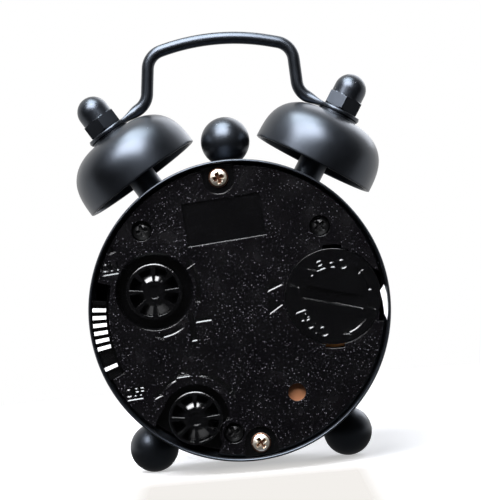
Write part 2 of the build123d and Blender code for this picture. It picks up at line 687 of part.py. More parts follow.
def make_ball_screw():
    seat = head_seat(BALL_SCREW_HEAD_RADIUS)
    shank = upright_tube(BALL_SCREW_RADIUS, 0, seat, BARREL_RADIUS + BALL_SCREW_THREAD)
    return shank + upright_tube(BALL_SCREW_HEAD_RADIUS, 0, seat - BALL_SCREW_HEAD_HEIGHT, seat)


# Movement housing, drawn as seen from behind
def bar(start, end, width):
    """A round-ended bar between two spots."""
    middle = ((start[0] + end[0]) / 2, (start[1] + end[1]) / 2)
    length = hypot(end[0] - start[0], end[1] - start[1])
    return Pos(*middle) * Rot(0, 0, direction_of(start, end)) * SlotOverall(length + width, width)


def edge_slot(radius, spot):
    """A U-shaped outline about a spot, open towards the rim."""
    direction = direction_of((0, 0), spot)
    mouth = Rot(0, 0, direction) * Pos(PLATE_RADIUS / 2, 0) * Rectangle(PLATE_RADIUS, 2 * radius)
    return Pos(*spot) * (Circle(radius) + mouth)


def make_front_plate():
    """The front half of the housing, with columns for the cover's screws and studs for wheels."""
    housing = tube(PLATE_RADIUS, ALARM_TUBE_RADIUS + RUNNING_GAP, PLATE_FRONT_Y, PLATE_REAR_Y)
    housing += tube(SKIRT_RADIUS, SKIRT_BORE, PLATE_REAR_Y, SKIRT_JOINT_Y)
    alarm_gear_tip = MODULE * (ALARM_KNOB_TEETH / 2 + TOOTH_ADDENDUM)
    housing -= rod(alarm_gear_tip + 2 * MOVING_GAP, PLATE_REAR_Y,
                   ALARM_LAYER_Y + MOTION_WHEEL_THICKNESS + 2 * MOVING_GAP, ALARM_AXIS)
    for spot in COVER_SCREW_SPOTS:
        housing += rod(COLUMN_RADIUS, PLATE_REAR_Y, COLUMN_TOP_Y, spot)
        housing -= rod(COVER_SCREW_RADIUS + FIT_GAP, COLUMN_TOP_Y - COVER_SCREW_LENGTH, COLUMN_TOP_Y, spot)
    for spot in MIDDLE_PILLARS:
        housing += rod(PILLAR_RADIUS, PLATE_REAR_Y, MIDDLE_PLATE_Y, spot)
    for layer, axis in ((MINUTE_LAYER_Y, MINUTE_AXIS), (ALARM_LAYER_Y, IDLER_AXIS)):
        housing += rod(STUD_RADIUS, PLATE_REAR_Y, layer + MOTION_WHEEL_THICKNESS + MOVING_GAP, axis)
    for axis in (TIME_AXIS, ALARM_AXIS):
        housing -= rod(KNOB_SHAFT_RADIUS + RUNNING_GAP, PLATE_REAR_Y - SHAFT_SEAT, PLATE_REAR_Y, axis)
    return housing


def make_middle_plate():
    plate = rod(MIDDLE_PLATE_RADIUS, MIDDLE_PLATE_Y, MIDDLE_PLATE_REAR_Y)
    for spot in BRIDGE_PILLARS:
        plate += rod(PILLAR_RADIUS, MIDDLE_PLATE_REAR_Y, BRIDGE_Y, spot)
    for end in COIL_ENDS:
        plate += rod(PILLAR_RADIUS, MIDDLE_PLATE_REAR_Y, STATOR_Y, (end, COIL_SPOT_UP))
    plate -= rod(SECOND_ARBOR_RADIUS + RUNNING_GAP, MIDDLE_PLATE_Y, MIDDLE_PLATE_REAR_Y)
    for axis in (THIRD_AXIS, INTERMEDIATE_AXIS, ROTOR_AXIS):
        plate -= rod(ARBOR_RADIUS + RUNNING_GAP, MIDDLE_PLATE_Y, MIDDLE_PLATE_REAR_Y, axis)
    return plate - rod(KNOB_SHAFT_RADIUS + 2 * MOVING_GAP, MIDDLE_PLATE_Y, MIDDLE_PLATE_REAR_Y, TIME_AXIS)


def make_train_bridge():
    """Arms that link the rear pivots to three pillars, with two posts for the circuit board."""
    left, low, right = BRIDGE_PILLARS
    centre = (0.0, 0.0)
    arms = [(left, THIRD_AXIS), (THIRD_AXIS, right), (left, centre), (centre, low),
            (centre, INTERMEDIATE_AXIS), (INTERMEDIATE_AXIS, ROTOR_AXIS), (ROTOR_AXIS, low)]
    outline = Circle(BRIDGE_ARM_RADIUS)
    for start, end in arms:
        outline += bar(start, end, 2 * BRIDGE_ARM_RADIUS)
    bridge = slab(outline, BRIDGE_Y, BRIDGE_REAR_Y)
    for post in (left, low):
        bridge += rod(PILLAR_RADIUS, BRIDGE_REAR_Y, BOARD_Y, post)
    bridge -= rod(SECOND_ARBOR_RADIUS + RUNNING_GAP, BRIDGE_Y, BRIDGE_REAR_Y)
    for axis in (THIRD_AXIS, INTERMEDIATE_AXIS, ROTOR_AXIS):
        bridge -= rod(ARBOR_RADIUS + RUNNING_GAP, BRIDGE_Y, BRIDGE_REAR_Y, axis)
    return bridge


def make_back_cover():
    """The moulded back: a plate and skirt with wells, bosses, a battery bay and a switch track."""
    cover = rod(PLATE_RADIUS, COVER_INNER_Y, COVER_Y)
    cover = chamfer(cover.edges().sort_by(Axis.Y)[-1], COVER_CHAMFER)
    skirt = tube(SKIRT_RADIUS, SKIRT_BORE, SKIRT_JOINT_Y, COVER_INNER_Y)
    lug_pocket = Rectangle(LUG_WIDTH + 2 * LUG_ROOM, 2 * LUG_REACH)
    for spot in CASE_SCREW_SPOTS:
        skirt -= slab(Pos(*spot) * lug_pocket, CASE_SCREW_END_Y - MOVING_GAP, COVER_INNER_Y)
    cover += skirt
    cover += rod(TIME_WELL_RADIUS + WELL_WALL, WELL_BASE_Y, COVER_INNER_Y, TIME_AXIS)
    cover += slab(edge_slot(ALARM_WELL_RADIUS + WELL_WALL, ALARM_AXIS) & Circle(PLATE_RADIUS),
                  WELL_BASE_Y, COVER_INNER_Y)
    cover += add_bay_walls()
    boss_radius = COVER_RECESS_RADIUS + BOSS_WALL
    for spot in COVER_SCREW_SPOTS:
        cover -= rod(COLUMN_RADIUS + 2 * FIT_GAP, SKIRT_JOINT_Y, COLUMN_TOP_Y, spot)
        cover += rod(boss_radius, COLUMN_TOP_Y, COVER_INNER_Y, spot)
    cover += tube(PIEZO_RADIUS, PIEZO_RADIUS - PIEZO_RING_WIDTH, COVER_INNER_Y - PIEZO_SEAT, COVER_INNER_Y,
                  PIEZO_SPOT)
    low_boss = Pos(*COVER_SCREW_SPOTS[2]) * Circle(boss_radius)
    cover -= rod(TIME_WELL_RADIUS, WELL_FLOOR_Y, COVER_Y, TIME_AXIS)
    cover -= slab(edge_slot(ALARM_WELL_RADIUS, ALARM_AXIS) - low_boss, WELL_FLOOR_Y, COVER_Y)
    cover -= rod(KNOB_RADIUS + MOVING_GAP, WELL_FLOOR_Y, COVER_Y, ALARM_AXIS)
    cover -= mouth_chamfer(TIME_WELL_RADIUS, TIME_AXIS)
    for axis in (TIME_AXIS, ALARM_AXIS):
        cover -= rod(KNOB_SHAFT_RADIUS + RUNNING_GAP, WELL_BASE_Y, WELL_FLOOR_Y, axis)
    cover = cut_bay(cover)
    track = ring_sector(PLATE_RADIUS + PLATE_GAP, SLOT_INNER_RADIUS, SLOT_FROM, SLOT_TO)
    cover -= slab(track, SLIDER_TRACK_Y, COVER_Y)
    notch = ring_sector(PLATE_RADIUS + PLATE_GAP, PLATE_RADIUS - NOTCH_DEPTH, NOTCH_FROM, NOTCH_TO)
    cover -= slab(notch, COVER_INNER_Y, COVER_Y)
    for spot in CASE_SCREW_SPOTS:
        cover -= slab(edge_slot(CASE_POCKET_RADIUS, spot), COVER_Y - CASE_POCKET_DEPTH, COVER_Y)
        cover -= rod(CASE_SCREW_RADIUS + MOVING_GAP, COVER_INNER_Y, COVER_Y, spot)
    for spot in COVER_SCREW_SPOTS:
        cover -= rod(COVER_RECESS_RADIUS, COVER_Y - COVER_RECESS_DEPTH, COVER_Y, spot)
        cover -= rod(COVER_SCREW_RADIUS + SCREW_HOLE_GAP, COLUMN_TOP_Y, COVER_Y, spot)
    cover -= rod(SOUND_HOLE_RADIUS, COVER_INNER_Y, COVER_Y, SOUND_HOLE_SPOT)
    label = Pos(*LABEL_SPOT) * Rectangle(LABEL_WIDTH, LABEL_HEIGHT)
    return cover - slab(label, COVER_Y - LABEL_DEPTH, COVER_Y)


def mouth_chamfer(radius, spot):
    """A shallow cone that breaks the edge of a well's mouth."""
    top_y = COVER_Y + WELL_CHAMFER
    corners = [(0, top_y), (radius + 2 * WELL_CHAMFER, top_y), (radius, COVER_Y - WELL_CHAMFER),
               (0, COVER_Y - WELL_CHAMFER)]
    return at_spot(turned(make_face(Polyline(*corners, close=True))), spot)


def add_bay_walls():
    walls = tube(BAY_RADIUS, BAY_BORE, BAY_BASE_Y, BAY_LEDGE_Y, DOOR_SPOT)
    return walls + rod(BAY_RADIUS, BAY_BASE_Y, BAY_FLOOR_Y, DOOR_SPOT)


def contact_band(outer, inner, spread=0.0):
    """The arc of the bay's wall where the side contact stands."""
    half = degrees(asin((CONTACT_WIDTH / 2 + spread) / BAY_BORE))
    direction = DOOR_ENTRY_DIRECTIONS[1]
    return Pos(*DOOR_SPOT) * ring_sector(outer, inner, direction - half, direction + half)


def cut_bay(cover):
    """Opens the bay for the cell, the door, its lugs and the side contact."""
    cover -= rod(BAY_BORE, BAY_FLOOR_Y, BAY_LEDGE_Y, DOOR_SPOT)
    cover -= rod(DOOR_SWEEP_RADIUS, BAY_LEDGE_Y, COVER_INNER_Y, DOOR_SPOT)
    cover -= rod(DOOR_RADIUS + DOOR_GAP, COVER_INNER_Y, COVER_Y, DOOR_SPOT)
    for direction in DOOR_ENTRY_DIRECTIONS:
        entry = ring_sector(DOOR_SWEEP_RADIUS, BAY_BORE,
                            direction - DOOR_ENTRY_ANGLE / 2, direction + DOOR_ENTRY_ANGLE / 2)
        cover -= slab(Pos(*DOOR_SPOT) * entry, COVER_INNER_Y, COVER_Y)
    cover -= slab(contact_band(BAY_BORE + CONTACT_POCKET, BAY_BORE - CONTACT_GAP, CONTACT_GAP),
                  BAY_FLOOR_Y, BAY_LEDGE_Y)
    return cover - slab(contact_band(BAY_RADIUS + CONTACT_GAP, BAY_BORE, CONTACT_GAP),
                        BAY_LEDGE_Y - CONTACT_POCKET, BAY_LEDGE_Y)


def make_battery_door():
    """A disc with two lugs under the cover, and a slot whose floor has a coin's curve."""
    door = rod(DOOR_RADIUS, DOOR_INNER_Y, COVER_Y, DOOR_SPOT)
    for direction in DOOR_ENTRY_DIRECTIONS:
        closed = direction - DOOR_TRAVEL
        lug = ring_sector(DOOR_RADIUS + DOOR_LUG_REACH, DOOR_RADIUS / 2,
                          closed - DOOR_LUG_ANGLE / 2, closed + DOOR_LUG_ANGLE / 2)
        door += slab(Pos(*DOOR_SPOT) * lug, DOOR_INNER_Y, DOOR_INNER_Y + DOOR_LUG_THICKNESS)
    coin_radius = (COIN_SLOT_LENGTH ** 2 / 4 + COIN_SLOT_DEPTH ** 2) / (2 * COIN_SLOT_DEPTH)
    coin = Rot(0, COIN_SLOT_DIRECTION, 0) * Cylinder(coin_radius, COIN_SLOT_WIDTH)
    return door - at_spot(Pos(0, COVER_Y - COIN_SLOT_DEPTH + coin_radius, 0) * coin, DOOR_SPOT)


def make_contact_plus():
    """A strip up the bay's wall whose end is bent outwards under the door's entry."""
    face = BAY_BORE + CONTACT_GAP
    top_y = BAY_LEDGE_Y - CONTACT_THICKNESS
    strip = slab(contact_band(face + CONTACT_THICKNESS, face), BAY_FLOOR_Y, top_y)
    tab = slab(contact_band(DOOR_SWEEP_RADIUS - CONTACT_GAP, face), top_y - CONTACT_THICKNESS, top_y)
    return strip + tab


def make_contact_minus():
    """A round plate on the bay's floor with a raised crown that the cell presses down."""
    plate = rod(BAY_BORE / 2, BAY_FLOOR_Y, BAY_FLOOR_Y + CONTACT_THICKNESS, DOOR_SPOT)
    top_y = CELL_BASE_Y - FIT_GAP
    crown = [(CROWN_BORE, BAY_FLOOR_Y), (CROWN_BORE + CROWN_FOOT, BAY_FLOOR_Y),
             (CROWN_BORE + CROWN_TOP, top_y), (CROWN_BORE, top_y)]
    return plate + at_spot(turned(make_face(Polyline(*crown, close=True))), DOOR_SPOT)


def make_coin_cell():
    """A button cell: a can with a narrower cap towards the movement."""
    cell = rod(CELL_RADIUS, CELL_BASE_Y + CELL_CAP_STEP, CELL_TOP_Y, DOOR_SPOT)
    cell = chamfer(cell.edges().sort_by(Axis.Y)[-1], CELL_EDGE)
    return cell + rod(CELL_RADIUS - CELL_CAP_INSET, CELL_BASE_Y, CELL_BASE_Y + CELL_CAP_STEP, DOOR_SPOT)


# Slide switch
def make_slider():
    """A ribbed arc that slides in the cover's track, held by a tongue under the cover."""
    def block(start, end, height_y):
        arc = ring_sector(SLIDER_OUTER_RADIUS, SLIDER_INNER_RADIUS, start, end)
        return slab(arc, SLIDER_LOW_Y, height_y)

    slider = block(SLIDER_FROM, SLIDER_TO, SLIDER_LOW_Y + SLIDER_BASE_HEIGHT)
    ribs = [SLIDER_FROM + SLIDER_RIB_PITCH * rib for rib in range(SLIDER_RIBS)]
    for start in [*ribs, SLIDER_TO - SLIDER_END_RIB]:
        slider += block(start, start + SLIDER_RIB_ANGLE, COVER_Y + SLIDER_PROUD)
    slider += block(SLIDER_TO - SLIDER_END_BLOCK, SLIDER_TO, COVER_Y - SLIDER_BLOCK_DROP)
    root, reach = SLIDER_INNER_RADIUS + TONGUE_ROOT, SLOT_INNER_RADIUS - TONGUE_REACH
    tongue = ring_sector(root, reach, TONGUE_FROM, TONGUE_TO)
    return slider + slab(tongue, SLIDER_LOW_Y, SLIDER_LOW_Y + TONGUE_THICKNESS)


def make_slider_contact():
    """A bronze strip under the slider's tongue."""
    middle = (TONGUE_FROM + TONGUE_TO) / 2
    band = ring_sector(SLOT_INNER_RADIUS + CONTACT_THICKNESS, SLOT_INNER_RADIUS - TONGUE_REACH + CONTACT_GAP,
                       middle - SLIDER_CONTACT_ARC / 2, middle + SLIDER_CONTACT_ARC / 2)
    return slab(band, SLIDER_LOW_Y - CONTACT_THICKNESS, SLIDER_LOW_Y)


# Knobs
def make_knob(axis, shaft_end_y):
    """A dished knob: a thin ring, a hub and eight sloping pockets between its fins."""
    knob = rod(KNOB_RADIUS, KNOB_BASE_Y, KNOB_TOP_Y)
    knob = fillet(knob.edges().sort_by(Axis.Y)[-1], KNOB_EDGE_ROUND)
    outer = KNOB_RADIUS - KNOB_RING
    section = [(KNOB_HUB_RADIUS, KNOB_TOP_Y), (outer, KNOB_TOP_Y),
               (outer - KNOB_POCKET_DRAFT, KNOB_TOP_Y - KNOB_POCKET_DEPTH),
               (KNOB_HUB_RADIUS, KNOB_TOP_Y - KNOB_POCKET_DEPTH / 2)]
    pocket = turned(make_face(Polyline(*section, close=True)), 360 / KNOB_POCKETS - KNOB_FIN)
    for step in range(KNOB_POCKETS):
        knob -= Rot(0, 360 * step / KNOB_POCKETS, 0) * pocket
    knob -= rod(KNOB_HUB_RADIUS - KNOB_HUB_RIM, KNOB_TOP_Y - KNOB_HUB_DISH, KNOB_TOP_Y)
    knob += rod(KNOB_SHAFT_RADIUS, shaft_end_y, KNOB_BASE_Y)
    return at_spot(knob, axis)


# Wheels
def wheel(teeth, module, phase, low_y, thickness, bore, axis, windows=0):
    """A toothed wheel, with round windows in its web when it is large."""
    outline = gear_outline(teeth, module, phase) - Circle(bore)
    web_middle = module * teeth / 4 + bore / 2
    for window in range(windows):
        outline -= Pos(*polar(web_middle, 360 * window / windows)) * Circle(module * teeth / 9)
    return slab(Pos(*axis) * outline, low_y, low_y + thickness)


def make_motion_work():
    """The hour, minute and setting wheels, all in mesh from the cannon pinion outwards."""
    thick = MOTION_WHEEL_THICKNESS
    out = TIME_KNOB_DIRECTION
    minute_phase = mesh_phase(0.0, CANNON_TEETH, MINUTE_WHEEL_TEETH, out)
    time_phase = mesh_phase(minute_phase, MINUTE_WHEEL_TEETH, TIME_KNOB_TEETH, out)
    hour_phase = mesh_phase(0.0, MINUTE_PINION_TEETH, HOUR_WHEEL_TEETH, out + 180)
    cannon = wheel(CANNON_TEETH, MODULE, 0.0, MINUTE_LAYER_Y, thick, CANNON_BORE, (0, 0))
    cannon += tube(CANNON_RADIUS, CANNON_BORE, MINUTE_HAND_Y - FIT_GAP, MINUTE_LAYER_Y)
    minute = wheel(MINUTE_WHEEL_TEETH, MODULE, minute_phase, MINUTE_LAYER_Y, thick,
                   STUD_RADIUS + RUNNING_GAP, MINUTE_AXIS)
    minute += wheel(MINUTE_PINION_TEETH, HOUR_MODULE, 0.0, HOUR_LAYER_Y - FIT_GAP,
                    MINUTE_LAYER_Y - HOUR_LAYER_Y + FIT_GAP, STUD_RADIUS + RUNNING_GAP, MINUTE_AXIS)
    hour = wheel(HOUR_WHEEL_TEETH, HOUR_MODULE, hour_phase, HOUR_LAYER_Y, thick, HOUR_BORE, (0, 0))
    hour += tube(HOUR_RADIUS, HOUR_BORE, HOUR_HAND_Y - FIT_GAP, HOUR_LAYER_Y)
    setting = wheel(TIME_KNOB_TEETH, MODULE, time_phase, MINUTE_LAYER_Y, thick,
                    KNOB_SHAFT_RADIUS + PRESS_GAP, TIME_AXIS)
    return {"cannon_pinion": cannon, "minute_wheel": minute, "hour_wheel": hour, "time_setting_gear": setting}


def make_alarm_work():
    thick = MOTION_WHEEL_THICKNESS
    out = ALARM_KNOB_DIRECTION
    idler_phase = mesh_phase(0.0, ALARM_WHEEL_TEETH, ALARM_IDLER_TEETH, out)
    knob_phase = mesh_phase(idler_phase, ALARM_IDLER_TEETH, ALARM_KNOB_TEETH, out)
    alarm = wheel(ALARM_WHEEL_TEETH, MODULE, 0.0, ALARM_LAYER_Y, thick, ALARM_BORE, (0, 0))
    alarm += tube(ALARM_TUBE_RADIUS, ALARM_BORE, ALARM_HAND_Y - FIT_GAP, ALARM_LAYER_Y)
    idler = wheel(ALARM_IDLER_TEETH, MODULE, idler_phase, ALARM_LAYER_Y, thick,
                  STUD_RADIUS + RUNNING_GAP, IDLER_AXIS, windows=5)
    setting = wheel(ALARM_KNOB_TEETH, MODULE, knob_phase, ALARM_LAYER_Y, thick,
                    KNOB_SHAFT_RADIUS + PRESS_GAP, ALARM_AXIS)
    return {"alarm_wheel": alarm, "alarm_idler": idler, "alarm_setting_gear": setting}


def make_going_train():
    """From the motor's rotor to the centre wheel that turns once an hour."""
    thick = WHEEL_THICKNESS
    centre = (0.0, 0.0)
    rotor_out = direction_of(ROTOR_AXIS, INTERMEDIATE_AXIS)
    seconds_out = direction_of(INTERMEDIATE_AXIS, centre)
    centre_out = direction_of(THIRD_AXIS, centre)
    intermediate_phase = mesh_phase(0.0, PINION_TEETH, INTERMEDIATE_TEETH, rotor_out)
    seconds_phase = mesh_phase(0.0, PINION_TEETH, SECONDS_TEETH, seconds_out)
    third_phase = mesh_phase(0.0, PINION_TEETH, THIRD_TEETH, THIRD_DIRECTION)
    centre_phase = mesh_phase(0.0, PINION_TEETH, CENTRE_TEETH, centre_out)
    pivot_low = MIDDLE_PLATE_Y + PIVOT_SHORT
    pivot_high = BRIDGE_REAR_Y - PIVOT_SHORT

    rotor = rod(ROTOR_RADIUS, THIRD_LAYER_Y, THIRD_LAYER_Y + ROTOR_THICKNESS, ROTOR_AXIS)
    rotor += rod(ARBOR_RADIUS, pivot_low, pivot_high, ROTOR_AXIS)
    rotor += wheel(PINION_TEETH, ROTOR_MODULE, 0.0, INTERMEDIATE_LAYER_Y, thick, ARBOR_RADIUS / 2, ROTOR_AXIS)

    intermediate = wheel(INTERMEDIATE_TEETH, ROTOR_MODULE, intermediate_phase, INTERMEDIATE_LAYER_Y, thick,
                         ARBOR_RADIUS / 2, INTERMEDIATE_AXIS)
    intermediate += wheel(PINION_TEETH, MODULE, 0.0, SECONDS_LAYER_Y,
                          INTERMEDIATE_LAYER_Y - SECONDS_LAYER_Y, ARBOR_RADIUS / 2, INTERMEDIATE_AXIS)
    intermediate += rod(ARBOR_RADIUS, pivot_low, pivot_high, INTERMEDIATE_AXIS)

    seconds = wheel(SECONDS_TEETH, MODULE, seconds_phase, SECONDS_LAYER_Y, thick,
                    SECOND_ARBOR_RADIUS / 2, centre)
    seconds += wheel(PINION_TEETH, MODULE, 0.0, THIRD_LAYER_Y, SECONDS_LAYER_Y - THIRD_LAYER_Y,
                     SECOND_ARBOR_RADIUS / 2, centre)
    seconds += rod(SECOND_ARBOR_RADIUS, SECOND_HAND_Y - FIT_GAP, pivot_high)

    third = wheel(THIRD_TEETH, MODULE, third_phase, THIRD_LAYER_Y, thick,
                  ARBOR_RADIUS / 2, THIRD_AXIS, windows=5)
    third += wheel(PINION_TEETH, CENTRE_MODULE, 0.0, CENTRE_LAYER_Y, thick, ARBOR_RADIUS / 2, THIRD_AXIS)
    third += rod(ARBOR_RADIUS, CENTRE_LAYER_Y - FIT_GAP, pivot_high, THIRD_AXIS)

    centre_wheel = wheel(CENTRE_TEETH, CENTRE_MODULE, centre_phase, CENTRE_LAYER_Y, thick,
                         CENTRE_PIPE_BORE, centre)
    centre_wheel += tube(CENTRE_PIPE_RADIUS, CENTRE_PIPE_BORE, HOUR_LAYER_Y, CENTRE_LAYER_Y)
    return {"rotor": rotor, "intermediate_wheel": intermediate, "seconds_wheel": seconds,
            "third_wheel": third, "centre_wheel": centre_wheel}


# Motor and electrics
def make_stator():
    """Two arms from the ring round the rotor to the ends of the coil."""
    hole = ROTOR_RADIUS + STATOR_GAP
    outline = Pos(*ROTOR_AXIS) * Circle(hole + STATOR_RING)
    for end, side in zip(COIL_ENDS, (-1, 1)):
        start = polar(hole, 270 + 40 * side, ROTOR_AXIS)
        outline += bar(start, (end, COIL_SPOT_UP), STATOR_ARM)
    return slab(outline - Pos(*ROTOR_AXIS) * Circle(hole), STATOR_Y, STATOR_Y + STATOR_THICKNESS)


def along_coil(section, start, end):
    """A section drawn square to the coil, made solid between two places along it."""
    centre_y = STATOR_Y + STATOR_THICKNESS + FIT_GAP + COIL_RADIUS
    plane = Plane(origin=(-start, centre_y, COIL_SPOT_UP), x_dir=(0, 1, 0), z_dir=(-1, 0, 0))
    return extrude(plane * section, amount=end - start)


def make_coil_bobbin():
    first, last = COIL_ENDS[0] - STATOR_ARM / 2, COIL_ENDS[1] + STATOR_ARM / 2
    bobbin = along_coil(Circle(COIL_CORE_RADIUS), first, last)
    cheek = RectangleRounded(2 * COIL_RADIUS, 2 * COIL_RADIUS, COIL_CHEEK_ROUND)
    return bobbin + along_coil(cheek, first, first + COIL_CHEEK) + along_coil(cheek, last - COIL_CHEEK, last)


def make_coil_winding():
    from_end = COIL_CHEEK + PRESS_GAP - STATOR_ARM / 2
    section = Circle(COIL_RADIUS - WINDING_SHORT) - Circle(COIL_CORE_RADIUS + PRESS_GAP)
    return along_coil(section, COIL_ENDS[0] + from_end, COIL_ENDS[1] - from_end)


def make_circuit_board():
    outline = RectangleRounded(BOARD_RIGHT - BOARD_LEFT, BOARD_HIGH - BOARD_LOW, BOARD_ROUND)
    middle = Pos((BOARD_LEFT + BOARD_RIGHT) / 2, (BOARD_LOW + BOARD_HIGH) / 2)
    return slab(middle * outline, BOARD_Y, BOARD_Y + BOARD_THICKNESS)


def make_quartz_crystal():
    """A small round can lying on the board."""
    can = Cylinder(CRYSTAL_RADIUS, CRYSTAL_LENGTH)
    can = fillet(can.edges().filter_by(GeomType.CIRCLE), CRYSTAL_ROUND)
    spot = (BOARD_LEFT + CRYSTAL_SIDE_INSET, BOARD_LOW + CRYSTAL_LOW_INSET + CRYSTAL_LENGTH / 2)
    return at_spot(Pos(0, BOARD_Y + BOARD_THICKNESS + CRYSTAL_RADIUS, 0) * can, spot)


def make_control_chip():
    """The bare chip under its domed drop of black resin."""
    base = BOARD_Y + BOARD_THICKNESS
    half = CHIP_RADIUS / 2
    with BuildLine() as line:
        Line((0, base), (CHIP_RADIUS, base))
        ThreePointArc((CHIP_RADIUS, base), (half, base + cap_height(CHIP_RADIUS, CHIP_HEIGHT, half)),
                      (0, base + CHIP_HEIGHT))
        Line((0, base + CHIP_HEIGHT), (0, base))
    return at_spot(turned(make_face(line.line)), CHIP_SPOT)


def make_alarm_leaf():
    """A leaf spring behind the hour wheel, standing on the front plate outside the wheels."""
    leaf_y = HOUR_LAYER_Y + MOTION_WHEEL_THICKNESS + MOVING_GAP
    tip, foot = polar(LEAF_TIP, LEAF_DIRECTION), polar(LEAF_REACH, LEAF_DIRECTION)
    leaf = slab(bar(tip, foot, LEAF_WIDTH), leaf_y, leaf_y + LEAF_THICKNESS)
    return leaf + rod(LEAF_WIDTH / 2, PLATE_REAR_Y, leaf_y, foot)


def make_piezo_disc():
    high = COVER_INNER_Y - PIEZO_SEAT
    return rod(PIEZO_RADIUS, high - PIEZO_THICKNESS, high, PIEZO_SPOT)


# Screws and lugs of the movement
def pan_screw(spot, seat_y, head_radius, head_height, shank_radius, length):
    """A screw whose head stands on seat_y, with a rounded crown and a cross recess."""
    top_y = seat_y + head_height
    crown = SCREW_CROWN_SHARE * head_height
    side_y = top_y - crown
    half = head_radius / 2
    swell_y = side_y + cap_height(head_radius, crown, half)
    with BuildLine() as line:
        Line((0, seat_y), (head_radius, seat_y))
        Line((head_radius, seat_y), (head_radius, side_y))
        ThreePointArc((head_radius, side_y), (half, swell_y), (0, top_y))
        Line((0, top_y), (0, seat_y))
    screw = turned(make_face(line.line))
    arm = Rectangle(CROSS_LENGTH_SHARE * head_radius, CROSS_WIDTH_SHARE * head_radius)
    cross = arm + Rot(0, 0, 90) * arm
    screw -= slab(Rot(0, 0, 30) * cross, side_y, top_y)
    return at_spot(screw + rod(shank_radius, seat_y - length, seat_y), spot)


def make_case_lugs():
    """An angle of sheet steel inside the barrel for each silver screw: a strip and a tapped tab."""
    lugs = []
    for spot in CASE_SCREW_SPOTS:
        direction = direction_of((0, 0), spot)
        half = degrees(asin(LUG_WIDTH / 2 / BARREL_BORE))
        outer = BARREL_BORE - FIT_GAP
        inner = outer - LUG_STRIP_THICKNESS
        strip = ring_sector(outer, inner, direction - half, direction + half)
        tab_middle = outer - LUG_STRIP_THICKNESS / 2 - LUG_REACH / 2
        tab = Rot(0, 0, direction) * Pos(tab_middle, 0) * Rectangle(LUG_REACH, LUG_WIDTH)
        lug = slab(strip, LUG_TOP_Y - LUG_DEPTH, LUG_TOP_Y) + slab(tab, LUG_TOP_Y - LUG_THICKNESS, LUG_TOP_Y)
        lugs.append(lug - rod(CASE_SCREW_RADIUS + FIT_GAP, LUG_TOP_Y - LUG_THICKNESS, LUG_TOP_Y, spot))
    return group(lugs)


def group(solids):
    """Several separate solids in one node."""
    return Compound(children=[solid for piece in solids for solid in piece.solids()])


# Hands
def make_hand(size, face_y, bore):
    """A tapered blade with a round eye, turned clockwise from twelve as seen from the front."""
    width, length, tail = size["width"], size["length"], size["tail"]
    eye = Circle(bore + HAND_EYE_WALL)
    belly = (HAND_BELLY_SHARE * width, HAND_BELLY_PLACE * length)
    tip = (HAND_TAIL_SHARE * width, -tail)
    right = [belly, (width / 2, 0), tip]
    left = [(-x, y) for x, y in reversed(right)]
    blade = make_face(Polyline((0, length), *right, *left, close=True))
    outline = eye + blade - Circle(bore + PRESS_GAP)
    plane = front_plane(face_y + HAND_THICKNESS)
    return extrude(plane * Rot(0, 0, -size["angle"]) * outline, amount=HAND_THICKNESS)


def make_case_parts():
    """Everything that the case carries, made about the case's middle."""
    bell, post, screw = make_bell(), make_post(), make_bell_screw()
    washer, nut, foot = make_washer(), make_dome_nut(), make_ball(FOOT_CENTRE)
    ball_screw = make_ball_screw()
    foot_direction = 180 - FOOT_ANGLE
    return {
        "case_barrel": make_barrel(),
        "bezel": make_bezel(),
        "lens": make_lens(),
        "dial": make_dial(),
        "dial_ring": make_dial_ring(),
        "bell_left": radial(bell, -BELL_TILT),
        "bell_right": radial(bell, BELL_TILT),
        "bell_posts": group([radial(post, side * BELL_TILT) for side in (-1, 1)]),
        "bell_screws": group([radial(screw, side * BELL_TILT) for side in (-1, 1)]),
        "bell_washers": group([radial(washer, side * BELL_TILT) for side in (-1, 1)]),
        "dome_nuts": group([radial(nut, side * BELL_TILT) for side in (-1, 1)]),
        "handle": make_handle(),
        "top_ball": make_ball(TOP_BALL_CENTRE),
        "foot_left": radial(foot, -foot_direction, FOOT_Y),
        "foot_right": radial(foot, foot_direction, FOOT_Y),
        "ball_screws": group([ball_screw, radial(ball_screw, -foot_direction, FOOT_Y),
                              radial(ball_screw, foot_direction, FOOT_Y)]),
        "alarm_hand": make_hand(ALARM_HAND, ALARM_HAND_Y, ALARM_TUBE_RADIUS),
        "hour_hand": make_hand(HOUR_HAND, HOUR_HAND_Y, HOUR_RADIUS),
        "minute_hand": make_hand(MINUTE_HAND, MINUTE_HAND_Y, CANNON_RADIUS),
        "second_hand": make_hand(SECOND_HAND, SECOND_HAND_Y, SECOND_ARBOR_RADIUS),
    }


